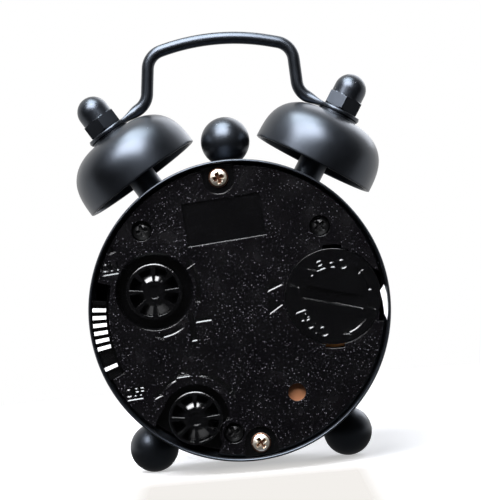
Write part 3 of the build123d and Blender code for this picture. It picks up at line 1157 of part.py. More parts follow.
def make_movement_parts():
    """Everything that the movement carries, turned with it in the case."""
    shaft_end_y = PLATE_REAR_Y - SHAFT_SEAT + FIT_GAP
    case_seat = COVER_Y - CASE_POCKET_DEPTH
    cover_seat = COVER_Y - COVER_RECESS_DEPTH
    parts = {
        "movement_front_plate": make_front_plate(),
        "movement_middle_plate": make_middle_plate(),
        "train_bridge": make_train_bridge(),
        "movement_back_cover": make_back_cover(),
        "battery_door": make_battery_door(),
        "coin_cell": make_coin_cell(),
        "contact_plus": make_contact_plus(),
        "contact_minus": make_contact_minus(),
        "alarm_slider": make_slider(),
        "slider_contact": make_slider_contact(),
        "time_knob": make_knob(TIME_AXIS, shaft_end_y),
        "alarm_knob": make_knob(ALARM_AXIS, shaft_end_y),
        "stator": make_stator(),
        "coil_bobbin": make_coil_bobbin(),
        "coil_winding": make_coil_winding(),
        "circuit_board": make_circuit_board(),
        "quartz_crystal": make_quartz_crystal(),
        "control_chip": make_control_chip(),
        "alarm_leaf": make_alarm_leaf(),
        "piezo_disc": make_piezo_disc(),
        "case_lugs": make_case_lugs(),
        "case_screws": group([
            pan_screw(spot, case_seat, CASE_SCREW_HEAD_RADIUS, CASE_SCREW_HEAD_HEIGHT, CASE_SCREW_RADIUS,
                      CASE_SCREW_LENGTH) for spot in CASE_SCREW_SPOTS]),
        "cover_screws": group([
            pan_screw(spot, cover_seat, COVER_SCREW_HEAD_RADIUS, COVER_SCREW_HEAD_HEIGHT, COVER_SCREW_RADIUS,
                      COVER_SCREW_LENGTH) for spot in COVER_SCREW_SPOTS]),
    }
    parts |= make_motion_work() | make_alarm_work() | make_going_train()
    return {name: Rot(0, MOVEMENT_TURN, 0) * piece for name, piece in parts.items()}


def main():
    os.makedirs("parts", exist_ok=True)
    for name, piece in (make_case_parts() | make_movement_parts()).items():
        export_step(Pos(0, FRAME_SHIFT_Y, CASE_HEIGHT) * piece, f"parts/{name}.step")


main()
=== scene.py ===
import logging
from collections.abc import Callable
from dataclasses import dataclass
from enum import Enum
from math import cos, pi, radians, sin, tan

import bmesh
import bpy
import numpy as np
from mathutils import Matrix, Vector


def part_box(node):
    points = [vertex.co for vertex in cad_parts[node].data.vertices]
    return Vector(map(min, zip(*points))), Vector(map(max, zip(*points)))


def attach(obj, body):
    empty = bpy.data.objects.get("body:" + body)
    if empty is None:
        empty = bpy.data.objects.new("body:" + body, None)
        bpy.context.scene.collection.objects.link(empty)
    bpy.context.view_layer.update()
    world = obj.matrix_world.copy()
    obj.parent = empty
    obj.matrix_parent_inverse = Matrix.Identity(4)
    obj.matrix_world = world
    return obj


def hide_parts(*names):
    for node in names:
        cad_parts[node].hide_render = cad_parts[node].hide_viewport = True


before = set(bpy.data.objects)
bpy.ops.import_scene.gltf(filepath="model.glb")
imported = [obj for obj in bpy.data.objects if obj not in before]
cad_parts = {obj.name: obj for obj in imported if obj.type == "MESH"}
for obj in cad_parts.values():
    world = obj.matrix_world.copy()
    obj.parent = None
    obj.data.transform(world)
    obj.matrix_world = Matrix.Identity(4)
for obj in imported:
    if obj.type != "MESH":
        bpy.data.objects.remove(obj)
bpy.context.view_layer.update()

# A small black twin bell alarm clock, photographed from behind. Sizes here are in millimetres
# and are turned to metres where a mesh is made. The dial faces -Y and the moulded back +Y.

MM = 0.001
PICTURE_SIZE = (481, 500)
ROOT_BODY = "clock"

# A mark is cut by a thick shape in mm: its sides are straight within MARK_HALF of its middle and
# slope inwards by MARK_SLOPE down to its floor, which lies MARK_INSET inside the drawn outline.
# The slopes mirror the lamps, so that the marks show on black.
MARK_HALF = 0.3
MARK_FLOOR = -0.4
MARK_SLOPE = 0.18
MARK_INSET = 0.06

# Numbers of the sockets of a Mix node for colours
MIX_SHARE, MIX_FIRST, MIX_SECOND, MIX_RESULT = 0, 6, 7, 2

Mesh = bpy.types.Mesh
Tree = bpy.types.NodeTree
Node = bpy.types.Node
Socket = bpy.types.NodeSocket
Pair = tuple[float, float]
Reshape = Callable[[np.ndarray], np.ndarray]

log = logging.getLogger("twin_bell_clock")


# Places on the clock
@dataclass(frozen=True)
class ClockFrame:
    """Where the case's middle and the turned movement lie in the row's frame.

    Attributes:
        depth_shift: How far the drawing's zero depth lies behind the row's origin, in mm.
        movement_turn: How far the movement is turned in the case, in degrees.
    """

    depth_shift: float = 1.1
    movement_turn: float = 4.2

    @property
    def height(self) -> float:
        """The height of the case's middle over the floor, in mm."""
        low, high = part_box("case_barrel")
        return (low.z + high.z) / 2 / MM

    def upright(self, points: np.ndarray) -> np.ndarray:
        """Takes points about the case's middle into the row's frame.

        Args:
            points: Array whose last axis holds x, y and z in mm.

        Returns:
            The same points in metres, in the row's frame.
        """
        return (np.asarray(points, float) + (0.0, self.depth_shift, self.height)) * MM

    def radial(self, points: np.ndarray, direction: float, depth: float = 0.0) -> np.ndarray:
        """Stands an upright shape on the case, tipped from the top towards +X.

        Formula: a turn about the Y axis by the direction, then a step along Y by the depth.

        Args:
            points: Array of x, y and z in mm, upright over the case's middle.
            direction: Degrees from the top towards +X.
            depth: Step along Y in mm.

        Returns:
            Points in metres, in the row's frame.
        """
        turn = radians(direction)
        x, y, z = np.moveaxis(np.asarray(points, float), -1, 0)
        tipped = np.stack([x * cos(turn) + z * sin(turn), y + depth, z * cos(turn) - x * sin(turn)], axis=-1)
        return self.upright(tipped)

    def behind(self, points: np.ndarray) -> np.ndarray:
        """Takes points drawn on the movement's back into the row's frame.

        Formula: right and up as seen from behind become -X and +Z, then both turn with the movement.

        Args:
            points: Array of right, up and depth in mm, as seen from behind.

        Returns:
            Points in metres, in the row's frame.
        """
        right, up, depth = np.moveaxis(np.asarray(points, float), -1, 0)
        turn = radians(self.movement_turn)
        x = -right * cos(turn) + up * sin(turn)
        z = right * sin(turn) + up * cos(turn)
        return self.upright(np.stack([x, depth, z], axis=-1))

    def seen_from_behind(self, points: np.ndarray) -> np.ndarray:
        """Takes points in the row's frame back to right, up and depth on the movement's back.

        Args:
            points: Array of points in metres, in the row's frame.

        Returns:
            Array of right, up and depth in mm.
        """
        x, depth, z = np.moveaxis(points / MM - (0.0, self.depth_shift, self.height), -1, 0)
        turn = radians(self.movement_turn)
        return np.stack([-x * cos(turn) + z * sin(turn), x * sin(turn) + z * cos(turn), depth], axis=-1)

    def ahead(self, points: np.ndarray) -> np.ndarray:
        """Takes points drawn on the dial, as right, up and depth seen from the front, into the row's frame."""
        right, up, depth = np.moveaxis(np.asarray(points, float), -1, 0)
        return self.upright(np.stack([right, depth, up], axis=-1))


PLACE = ClockFrame()


# Colours and shader nodes
def linear(colour: str) -> tuple[float, float, float, float]:
    """Turns an sRGB hex colour into the linear colour that shaders expect.

    Args:
        colour: Six hex digits after a hash.

    Returns:
        Linear red, green, blue and an alpha of one.
    """
    parts = [int(colour[k:k + 2], 16) / 255 for k in (1, 3, 5)]
    red, green, blue = [p / 12.92 if p <= 0.04045 else ((p + 0.055) / 1.055) ** 2.4 for p in parts]
    return red, green, blue, 1.0


def per_mm(size: float) -> float:
    """The texture scale, in cycles per metre, whose pattern repeats about every size mm."""
    return 1 / (size * MM)


def add_node(tree: Tree, kind: str, settings: dict | None = None, links: dict | None = None) -> Node:
    """Adds one node with its settings and its incoming links.

    Args:
        tree: The node tree.
        kind: The node's type name.
        settings: Values for attributes, or for inputs by name or number.
        links: Output sockets for inputs by name or number; a node stands for its first output.

    Returns:
        The new node.
    """
    node = tree.nodes.new(kind)
    for name, value in (settings or {}).items():
        if isinstance(name, str) and hasattr(node, name):
            setattr(node, name, value)
        else:
            node.inputs[name].default_value = value
    for name, source in (links or {}).items():
        tree.links.new(source.outputs[0] if isinstance(source, Node) else source, node.inputs[name])
    return node


def empty_tree(owner: bpy.types.Material | bpy.types.World) -> Tree:
    """Clears the shader nodes of a material or world.

    Args:
        owner: The material or world.

    Returns:
        Its empty tree.
    """
    owner.use_nodes = True
    owner.node_tree.nodes.clear()
    return owner.node_tree


def seen_directly(tree: Tree) -> Node:
    """Adds a value that is one for rays from the camera and through clear panes, else zero.

    Args:
        tree: The tree of the floor or the world.

    Returns:
        The node whose first output holds the value.
    """
    path = add_node(tree, "ShaderNodeLightPath").outputs
    return add_node(tree, "ShaderNodeMath", {"operation": "MAXIMUM"},
                    {0: path["Is Camera Ray"], 1: path["Is Transmission Ray"]})


class Texture(Enum):
    """How a finish breaks up its surface."""

    NONE = "none"
    ORANGE_PEEL = "orange peel of sprayed enamel"
    SPARK_ERODED = "spark-eroded mould grain"
    BRUSHED = "fine turned lines"
    GRAIN = "fine cast grain"


@dataclass(frozen=True)
class Finish:
    """What a surface is made of and how it was made.

    Attributes:
        name: The material's common name and how its surface was made.
        colour: Base colour as sRGB hex.
        roughness: Middle roughness.
        metallic: One for bare metal, else zero.
        ior: Index of refraction, for anything but metal.
        texture: The relief of the surface.
        grain: Size of the relief in mm.
        relief: Depth of the relief in mm.
        spread: How far the roughness wanders to either side.
        specks: Share of dust specks, from zero to one.
        edge: Radius that softens the moulded or pressed edges, in mm.
        gloss: Strength of the mirror reflection, where 0.5 is the plain value.
        tint: Colour of the mirror reflection of a plastic or paint, as sRGB hex.
    """

    name: str
    colour: str
    roughness: float
    metallic: float = 0.0
    ior: float = 1.5
    texture: Texture = Texture.NONE
    grain: float = 0.3
    relief: float = 0.004
    spread: float = 0.05
    specks: float = 0.0
    edge: float = 0.0
    gloss: float = 0.5
    tint: str = "#ffffff"

    def build(self) -> bpy.types.Material:
        """Makes the material once and hands back the same one afterwards.

        Returns:
            The material.
        """
        made = bpy.data.materials.get(self.name)
        if made:
            return made
        material = bpy.data.materials.new(self.name)
        tree = empty_tree(material)
        shader = add_node(tree, "ShaderNodeBsdfPrincipled", self.shader_settings())
        add_node(tree, "ShaderNodeOutputMaterial", links={"Surface": shader})
        place = add_node(tree, "ShaderNodeTexCoord").outputs["Object"]
        self.vary_roughness(tree, shader, place)
        self.vary_colour(tree, shader, place)
        self.raise_relief(tree, shader, place)
        return material

    def shader_settings(self) -> dict:
        """The values that are the same all over the surface.

        Returns:
            Values by the names of the shader's sockets.
        """
        settings = {"Base Color": linear(self.colour), "Roughness": self.roughness, "Metallic": self.metallic}
        if not self.metallic:
            settings |= {"IOR": self.ior, "Specular IOR Level": self.gloss, "Specular Tint": linear(self.tint)}
        return settings

    def vary_roughness(self, tree: Tree, shader: Node, place: Socket) -> None:
        """Lets the roughness wander over a few millimetres, as handling and wear leave it.

        Args:
            tree: The material's tree.
            shader: Its surface shader.
            place: Object coordinates.
        """
        cloud = add_node(tree, "ShaderNodeTexNoise", {"Scale": per_mm(4.0), "Detail": 3.0}, {"Vector": place})
        wander = add_node(tree, "ShaderNodeMapRange", {
            "From Min": 0.3, "From Max": 0.7,
            "To Min": max(0.02, self.roughness - self.spread), "To Max": self.roughness + self.spread,
        }, {"Value": cloud})
        tree.links.new(wander.outputs[0], shader.inputs["Roughness"])

    def vary_colour(self, tree: Tree, shader: Node, place: Socket) -> None:
        """Adds a slight tone drift and, where asked, pale dust specks about 0.15 mm across.

        Args:
            tree: The material's tree.
            shader: Its surface shader.
            place: Object coordinates.
        """
        cloud = add_node(tree, "ShaderNodeTexNoise", {"Scale": per_mm(9.0), "Detail": 2.0}, {"Vector": place})
        base = linear(self.colour)
        light = tuple(min(1.0, c * 1.25 + 0.0006) for c in base[:3]) + (1.0,)
        tone = add_node(tree, "ShaderNodeMix", {"data_type": "RGBA", MIX_FIRST: base, MIX_SECOND: light},
                        {MIX_SHARE: cloud})
        colour = tone.outputs[MIX_RESULT]
        if self.specks:
            cells = add_node(tree, "ShaderNodeTexVoronoi", {"Scale": per_mm(1.1), "Randomness": 1.0},
                             {"Vector": place})
            chance = add_node(tree, "ShaderNodeSeparateColor", links={0: cells.outputs["Color"]})
            chosen = add_node(tree, "ShaderNodeMath", {"operation": "LESS_THAN", 1: self.specks}, {0: chance})
            small = add_node(tree, "ShaderNodeMath", {"operation": "LESS_THAN", 1: 0.075},
                             {0: cells.outputs["Distance"]})
            speck = add_node(tree, "ShaderNodeMath", {"operation": "MULTIPLY"}, {0: chosen, 1: small})
            dusted = add_node(tree, "ShaderNodeMix", {"data_type": "RGBA", MIX_SECOND: linear("#9a9aa0")},
                              {MIX_SHARE: speck, MIX_FIRST: colour})
            colour = dusted.outputs[MIX_RESULT]
        tree.links.new(colour, shader.inputs["Base Color"])

    def raise_relief(self, tree: Tree, shader: Node, place: Socket) -> None:
        """Gives the surface its fine relief and the softened edges of a moulding or pressing.

        Args:
            tree: The material's tree.
            shader: Its surface shader.
            place: Object coordinates.
        """
        normal = None
        if self.edge:
            normal = add_node(tree, "ShaderNodeBevel", {"samples": 4, "Radius": self.edge * MM}).outputs[0]
        if self.texture is not Texture.NONE:
            height = self.relief_height(tree, place)
            bump = add_node(tree, "ShaderNodeBump", {"Strength": 1.0, "Distance": self.relief * MM},
                            {"Height": height})
            if normal:
                tree.links.new(normal, bump.inputs["Normal"])
            normal = bump.outputs[0]
        if normal:
            tree.links.new(normal, shader.inputs["Normal"])

    def relief_height(self, tree: Tree, place: Socket) -> Socket:
        """The height pattern of the surface, from zero to one.

        Args:
            tree: The material's tree.
            place: Object coordinates.

        Returns:
            The socket with the height.
        """
        if self.texture is Texture.BRUSHED:
            stretch = add_node(tree, "ShaderNodeMapping", {
                "Scale": (per_mm(self.grain), per_mm(8.0), per_mm(8.0))}, {"Vector": place})
            return add_node(tree, "ShaderNodeTexNoise", {"Scale": 1.0, "Detail": 4.0},
                            {"Vector": stretch}).outputs[0]
        if self.texture is Texture.SPARK_ERODED:
            pits = add_node(tree, "ShaderNodeTexVoronoi", {"Scale": per_mm(self.grain)}, {"Vector": place})
            fine = add_node(tree, "ShaderNodeTexNoise", {"Scale": per_mm(self.grain * 1.7), "Detail": 4.0},
                            {"Vector": place})
            return add_node(tree, "ShaderNodeMath", {"operation": "ADD"},
                            {0: pits.outputs["Distance"], 1: fine}).outputs[0]
        detail = 1.0 if self.texture is Texture.ORANGE_PEEL else 5.0
        return add_node(tree, "ShaderNodeTexNoise", {"Scale": per_mm(self.grain), "Detail": detail},
                        {"Vector": place}).outputs[0]


@dataclass(frozen=True)
class SparkGrainedPlastic(Finish):
    """ABS moulded in a spark-eroded tool. The sparkle of its tiny facets is painted into its colour as bright
    spots.
    """

    glint: str = "#86848c"

    def vary_colour(self, tree: Tree, shader: Node, place: Socket) -> None:
        """Paints bright spots into the colour as painted highlights, standing in for the facets' sparkle, over
        a fine haze.

        The real facets are some hundredths of a millimetre wide, too fine to show in the render, so
        they are drawn about 0.16 mm wide.

        Args:
            tree: The material's tree.
            shader: Its surface shader.
            place: Object coordinates.
        """
        cloud = add_node(tree, "ShaderNodeTexNoise", {"Scale": per_mm(5.0), "Detail": 3.0}, {"Vector": place})
        base = linear(self.colour)
        light = tuple(c * 1.5 for c in base[:3]) + (1.0,)
        tone = add_node(tree, "ShaderNodeMix", {"data_type": "RGBA", MIX_FIRST: base, MIX_SECOND: light},
                        {MIX_SHARE: cloud})
        # Painted highlights: rare small cells take the pale colour, as light off facets would look.
        cells = add_node(tree, "ShaderNodeTexVoronoi", {"Scale": per_mm(0.25)}, {"Vector": place})
        chance = add_node(tree, "ShaderNodeSeparateColor", links={0: cells.outputs["Color"]})
        bright = add_node(tree, "ShaderNodeMapRange", {"From Min": 0.7, "From Max": 1.0}, {"Value": chance})
        rare = add_node(tree, "ShaderNodeMath", {"operation": "POWER", 1: 2.5}, {0: bright})
        small = add_node(tree, "ShaderNodeMath", {"operation": "LESS_THAN", 1: 0.34},
                         {0: cells.outputs["Distance"]})
        drift = add_node(tree, "ShaderNodeTexNoise", {"Scale": per_mm(6.0), "Detail": 2.0}, {"Vector": place})
        patchy = add_node(tree, "ShaderNodeMapRange", {"From Min": 0.35, "From Max": 0.65, "To Min": 0.25},
                          {"Value": drift})
        painted_glints = add_node(tree, "ShaderNodeMath", {"operation": "MULTIPLY"}, {0: rare, 1: small})
        dust = add_node(tree, "ShaderNodeTexNoise", {"Scale": per_mm(0.3), "Detail": 1.0}, {"Vector": place})
        haze = add_node(tree, "ShaderNodeMapRange", {"From Min": 0.52, "From Max": 0.8, "To Max": 0.07},
                        {"Value": dust})
        sown = add_node(tree, "ShaderNodeMath", {"operation": "ADD"}, {0: painted_glints, 1: haze})
        strength = add_node(tree, "ShaderNodeMath", {"operation": "MULTIPLY"}, {0: sown, 1: patchy})
        painted_sparkle = add_node(tree, "ShaderNodeMix", {"data_type": "RGBA", MIX_SECOND: linear(self.glint)},
                             {MIX_SHARE: strength, MIX_FIRST: tone.outputs[MIX_RESULT]})
        tree.links.new(painted_sparkle.outputs[MIX_RESULT], shader.inputs["Base Color"])


@dataclass(frozen=True)
class ClearPane(Finish):
    """A polished clear pane."""

    def shader_settings(self) -> dict:
        """Passes light nearly unbent, as a thin pane does."""
        return super().shader_settings() | {"Transmission Weight": 1.0, "IOR": self.ior}

    def vary_colour(self, tree: Tree, shader: Node, place: Socket) -> None:
        """Leaves the pane one clear colour."""

    def vary_roughness(self, tree: Tree, shader: Node, place: Socket) -> None:
        """Leaves the pane evenly polished."""


class Finishes:
    """The clock's own finishes, each named for its material and making."""

    # Nearly black with broad soft highlights, over ripples of 0.6 mm that break them up slightly.
    enamel = Finish("satin black enamel sprayed on spun steel", "#040405", 0.35, texture=Texture.ORANGE_PEEL,
                    grain=0.6, relief=0.003, spread=0.04, specks=0.05, ior=1.52, gloss=0.6, tint="#deebff")
    # Deep black with painted sparkle: bright spots in its colour stand in for light off the pits. The real pits
    # are under 0.1 mm and are drawn at 0.3 mm, to show.
    cover = SparkGrainedPlastic("black ABS moulded in a spark-eroded tool", "#040305", 0.24, ior=1.53,
                                texture=Texture.SPARK_ERODED, grain=0.3, relief=0.008, spread=0.05, edge=0.14,
                                gloss=0.3)
    # Wet-looking black with sharp thin glints along its edges.
    gloss = Finish("black ABS moulded in a polished tool", "#050506", 0.15, ior=1.53, texture=Texture.GRAIN,
                   grain=0.6, relief=0.001, spread=0.03, specks=0.02, edge=0.12)
    # The glossiest black, with bright flat glints where fingers have worn it.
    rubbed = Finish("black ABS rubbed smooth by fingers", "#050506", 0.14, ior=1.53, spread=0.02, gloss=0.8)
    # Painted shade: brownish dark on the lower half of each cross, so that the cross of a bright screw stands
    # out from its head.
    recess = Finish("nickel-plated steel, painted shade in the cross", "#4a3226", 0.5, metallic=1.0,
                    texture=Texture.GRAIN, grain=0.2)
    # Warm silver with a soft shine. The real grain is finer and is drawn at 0.3 mm, to show.
    nickel = Finish("nickel-plated steel, cold-headed", "#e6dccd", 0.4, metallic=1.0, texture=Texture.GRAIN,
                    grain=0.3, relief=0.006, edge=0.06)
    # Dull black with weak highlights. The real grain is finer and is drawn at 0.25 mm, to show.
    black_oxide = Finish("black-oxide steel, cold-headed", "#060607", 0.4, texture=Texture.GRAIN, grain=0.25,
                         relief=0.004, edge=0.05)
    # Cool grey metal, hidden for the most part.
    zinc = Finish("zinc-plated steel", "#b9bcc0", 0.34, metallic=1.0, texture=Texture.GRAIN, grain=0.3)
    # Flat warm white without a shine, whose tooth is drawn at 0.2 mm, coarser than it is, to show.
    dial = Finish("matt white dial paint on aluminium", "#f2f1ec", 0.62, texture=Texture.GRAIN, grain=0.2,
                  relief=0.001, spread=0.03)
    # Dense black that is a little duller than the hands.
    print_black = Finish("black pad-printing ink", "#141414", 0.5, texture=Texture.GRAIN, grain=0.1,
                         relief=0.0005)
    # Black with a slight silky shine.
    hand_black = Finish("black lacquer on stamped aluminium", "#101012", 0.4, texture=Texture.GRAIN, grain=0.3,
                        relief=0.001)
    # Plain signal red with a slight silky shine.
    hand_red = Finish("red lacquer on stamped aluminium", "#b3221c", 0.42, texture=Texture.GRAIN, grain=0.3,
                      relief=0.001)
    # Dark grey that stays dull, as on inner mouldings.
    housing = Finish("black ABS, plain moulded", "#202024", 0.5, ior=1.53, texture=Texture.GRAIN, grain=0.4,
                     relief=0.003)
    # Milky off-white with a waxy shine.
    acetal = Finish("natural acetal, moulded", "#e4e2da", 0.42, ior=1.48, texture=Texture.GRAIN, grain=0.5,
                    relief=0.002)
    # Orange metal with rolling lines. They are drawn at 0.06 mm, coarser than real ones, to show.
    bronze = Finish("phosphor bronze strip, rolled", "#d8965f", 0.55, metallic=1.0, texture=Texture.BRUSHED,
                    grain=0.06, relief=0.002)
    # Bright metal with turned lines, drawn at 0.05 mm, coarser than real ones, to show.
    cell = Finish("nickel-plated cell can, drawn", "#cfcdc8", 0.22, metallic=1.0, texture=Texture.BRUSHED,
                  grain=0.05)
    # Plain grey metal.
    lamination = Finish("electrical steel, stamped", "#8d9094", 0.38, metallic=1.0, texture=Texture.GRAIN,
                        grain=0.2)
    # Reddish windings: lines of 0.12 mm stand for turns of a wire that is finer in fact.
    copper = Finish("enamelled copper wire, wound", "#b4622e", 0.3, metallic=1.0, texture=Texture.BRUSHED,
                    grain=0.12, relief=0.02)
    # Dark green with a soft shine.
    board = Finish("green solder mask on glass epoxy", "#1d4a30", 0.35, texture=Texture.GRAIN, grain=0.8)
    # Bright metal with drawing lines at 0.05 mm, coarser than real ones, to show.
    crystal = Finish("drawn aluminium can", "#c6c7c9", 0.24, metallic=1.0, texture=Texture.BRUSHED, grain=0.05)
    # Black drop with a wet shine.
    resin = Finish("black potting resin, cured", "#0b0b0c", 0.16, texture=Texture.GRAIN, grain=1.2,
                   relief=0.003)
    # Brown-orange metal that shows dull through the sound hole.
    buzzer = Finish("brass buzzer disc, rolled", "#a87454", 0.5, metallic=1.0, texture=Texture.BRUSHED,
                    grain=0.08)
    # Dark brown-grey without a shine.
    magnet = Finish("plastic-bonded ferrite", "#2a2726", 0.55, texture=Texture.GRAIN, grain=0.2)
    # Painted reflection: nearly white, on a thin sheet in the case's notch beside the door.
    primer = Finish("plain white sheet, painted reflection in the notch", "#f2f4f8", 0.4, texture=Texture.GRAIN, grain=0.4,
                    relief=0.001)
    # Clear with a faint mirror of the lamps.
    pane = ClearPane("clear acrylic, polished", "#fbfdfd", 0.03, ior=1.49)


# Meshes
def grid_mesh(name: str, points: np.ndarray, wrap: bool = True, sharp: float = 35.0) -> Mesh:
    """Makes a mesh from a grid of points, one quad for each cell.

    Args:
        name: The mesh's name.
        points: Array of rows by columns by three, in metres.
        wrap: Whether the last column joins the first.
        sharp: Edges that turn by more than this many degrees stay sharp.

    Returns:
        A closed-up mesh whose faces point outwards.
    """
    rows, columns = points.shape[:2]
    row = np.arange(rows - 1)[:, None] * columns
    column = np.arange(columns if wrap else columns - 1)[None, :]
    following = (column + 1) % columns
    below, above = row, row + columns
    corners = np.stack([below + column, below + following, above + following, above + column], axis=-1)
    mesh = bpy.data.meshes.new(name)
    mesh.from_pydata(points.reshape(-1, 3).tolist(), [], corners.reshape(-1, 4).tolist())
    return tidy_mesh(mesh, sharp)


def tidy_mesh(mesh: Mesh, sharp: float = 35.0) -> Mesh:
    """Merges doubles, turns the faces outwards and sets smooth shading with sharp corners.

    Args:
        mesh: The mesh to tidy.
        sharp: Edges that turn by more than this many degrees stay sharp.

    Returns:
        The same mesh.
    """
    stored = mesh.attributes.get("custom_normal")
    if stored:
        mesh.attributes.remove(stored)
    work = bmesh.new()
    work.from_mesh(mesh)
    bmesh.ops.remove_doubles(work, verts=work.verts, dist=2e-7)
    bmesh.ops.dissolve_degenerate(work, edges=work.edges, dist=1e-7)
    bmesh.ops.recalc_face_normals(work, faces=work.faces)
    work.to_mesh(mesh)
    work.free()
    mesh.polygons.foreach_set("use_smooth", np.ones(len(mesh.polygons), bool))
    mesh.set_sharp_from_angle(angle=radians(sharp))
    mesh.update()
    return mesh


def joined_mesh(name: str, meshes: list[Mesh]) -> Mesh:
    """Puts several meshes into one.

    Args:
        name: The new mesh's name.
        meshes: Meshes to join, which are removed.

    Returns:
        The joined mesh.
    """
    work = bmesh.new()
    for mesh in meshes:
        work.from_mesh(mesh)
        bpy.data.meshes.remove(mesh)
    whole = bpy.data.meshes.new(name)
    work.to_mesh(whole)
    work.free()
    return whole


def smooth_step(share: np.ndarray) -> np.ndarray:
    """A share from zero to one, eased at both ends: 3s^2 - 2s^3."""
    return share * share * (3 - 2 * share)


def spoke(direction: float) -> np.ndarray:
    """The unit vector, right and up, at a direction in degrees."""
    return np.array([cos(radians(direction)), sin(radians(direction))])


def travelled(line: np.ndarray) -> np.ndarray:
    """How far each point of a line lies along it from its start."""
    return np.concatenate([[0], np.cumsum(np.linalg.norm(np.diff(line, axis=0), axis=1))])


def polar(points: np.ndarray) -> tuple[np.ndarray, np.ndarray]:
    """The radius in mm and the direction in degrees, from 0 to 360, of points seen from behind."""
    return np.hypot(points[:, 0], points[:, 1]), np.degrees(np.arctan2(points[:, 1], points[:, 0])) % 360


def placed_object(name: str, data: bpy.types.ID) -> bpy.types.Object:
    """Makes an object and links it to the scene.

    Args:
        name: The object's name.
        data: Its mesh, lamp, curve or camera.

    Returns:
        The object.
    """
    made = bpy.data.objects.new(name, data)
    bpy.context.scene.collection.objects.link(made)
    return made


def turned_surface(profile: np.ndarray, sides: int = 96) -> np.ndarray:
    """Turns a profile about the vertical.

    Formula: x = r cos a, y = r sin a, z = h, for each profile point (r, h) and each angle a.

    Args:
        profile: Array of radius and height in mm.
        sides: Number of steps round.

    Returns:
        Array of profile points by sides by three.
    """
    angle = np.linspace(0, 2 * pi, sides, endpoint=False)
    radius, height = profile[:, 0:1], profile[:, 1:2]
    return np.stack([radius * np.cos(angle), radius * np.sin(angle), height + 0 * angle], axis=-1)


def piece(name: str, mesh: Mesh, finish: Finish, body: str,
          stands_for: tuple[str, ...] = ()) -> bpy.types.Object:
    """Makes a dressed object that rides on a body.

    Args:
        name: The piece's name.
        mesh: Its mesh, in metres and in the row's frame.
        finish: Its finish.
        body: The body that it moves with.
        stands_for: Nodes that it replaces.

    Returns:
        The new object.
    """
    made = placed_object(name, mesh)
    mesh.materials.clear()
    mesh.materials.append(finish.build())
    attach(made, body)
    if stands_for:
        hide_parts(*stands_for)
    log.info("%s: %d faces on %s, %s", name, len(mesh.polygons), body, finish.name)
    return made


def dress_part(mesh: Mesh, finish: Finish, chosen: Callable[[np.ndarray, np.ndarray], np.ndarray]) -> None:
    """Gives some of a mesh's faces a second finish.

    Args:
        mesh: The mesh, which has its first finish already.
        finish: The second finish.
        chosen: Takes the faces' middles and normals and returns true for those that get it.
    """
    middles = np.empty(len(mesh.polygons) * 3)
    normals = np.empty(len(mesh.polygons) * 3)
    mesh.polygons.foreach_get("center", middles)
    mesh.polygons.foreach_get("normal", normals)
    mesh.materials.append(finish.build())
    index = chosen(middles.reshape(-1, 3), normals.reshape(-1, 3)).astype(np.int32) * (len(mesh.materials) - 1)
    mesh.polygons.foreach_set("material_index", index)


def mesh_points(mesh: Mesh) -> np.ndarray:
    """All of a mesh's points as one array.

    Args:
        mesh: The mesh.

    Returns:
        Array of x, y and z.
    """
    points = np.empty(len(mesh.vertices) * 3)
    mesh.vertices.foreach_get("co", points)
    return points.reshape(-1, 3)


def move_points(mesh: Mesh, change: Reshape) -> None:
    """Passes all of a mesh's points through a change, as one array.

    Args:
        mesh: The mesh.
        change: A function from an array of points to an array of points.
    """
    mesh.vertices.foreach_set("co", np.asarray(change(mesh_points(mesh)), float).reshape(-1))
    mesh.update()


def node_copy(node: str, reshape: Reshape | None = None) -> Mesh:
    """A merged copy of a CAD node's mesh, with its points moved where asked.

    Args:
        node: The node's name.
        reshape: Takes and returns an array of right, up and depth in mm, as seen from behind.

    Returns:
        The copy, in metres.
    """
    mesh = tidy_mesh(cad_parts[node].data.copy())
    if reshape:
        move_points(mesh, lambda points: PLACE.behind(reshape(PLACE.seen_from_behind(points))))
        tidy_mesh(mesh)
    return mesh


# Case, bells, nuts, handle and balls
@dataclass(frozen=True)
class CaseSizes:
    """Sizes of the spun case, in mm.

    Attributes:
        radius: Outer radius of the drum.
        wall: Thickness of its sheet.
        front: Depth of its front end.
        rear: Depth of its rear rim.
        rim_radius: Outer radius of the flared rim.
        rim_bore: Inner radius of the flared rim.
        flare_start: Depth where the flare begins.
        lip: How far the rounded lip reaches back.
        sliver: Corners of the white sheet beside the door, a painted reflection, as radius and degrees seen
            from behind.
        sliver_depth: Depth of that sheet.
        sliver_thinness: Its thickness as a share of a mark's.
    """

    radius: float = 23.6
    wall: float = 0.6
    front: float = -10.6
    rear: float = 11.0
    rim_radius: float = 24.0
    rim_bore: float = 23.5
    flare_start: float = 8.5
    lip: float = 0.5
    sliver: tuple[Pair, ...] = (
        (22.6, -1.3), (22.85, -5.6), (23.1, -10.7), (23.4, -12.6), (23.45, -9.6), (23.4, -5.7), (23.35, -2.4),
        (23.2, 0.35))
    sliver_depth: float = 10.12
    sliver_thinness: float = 0.2


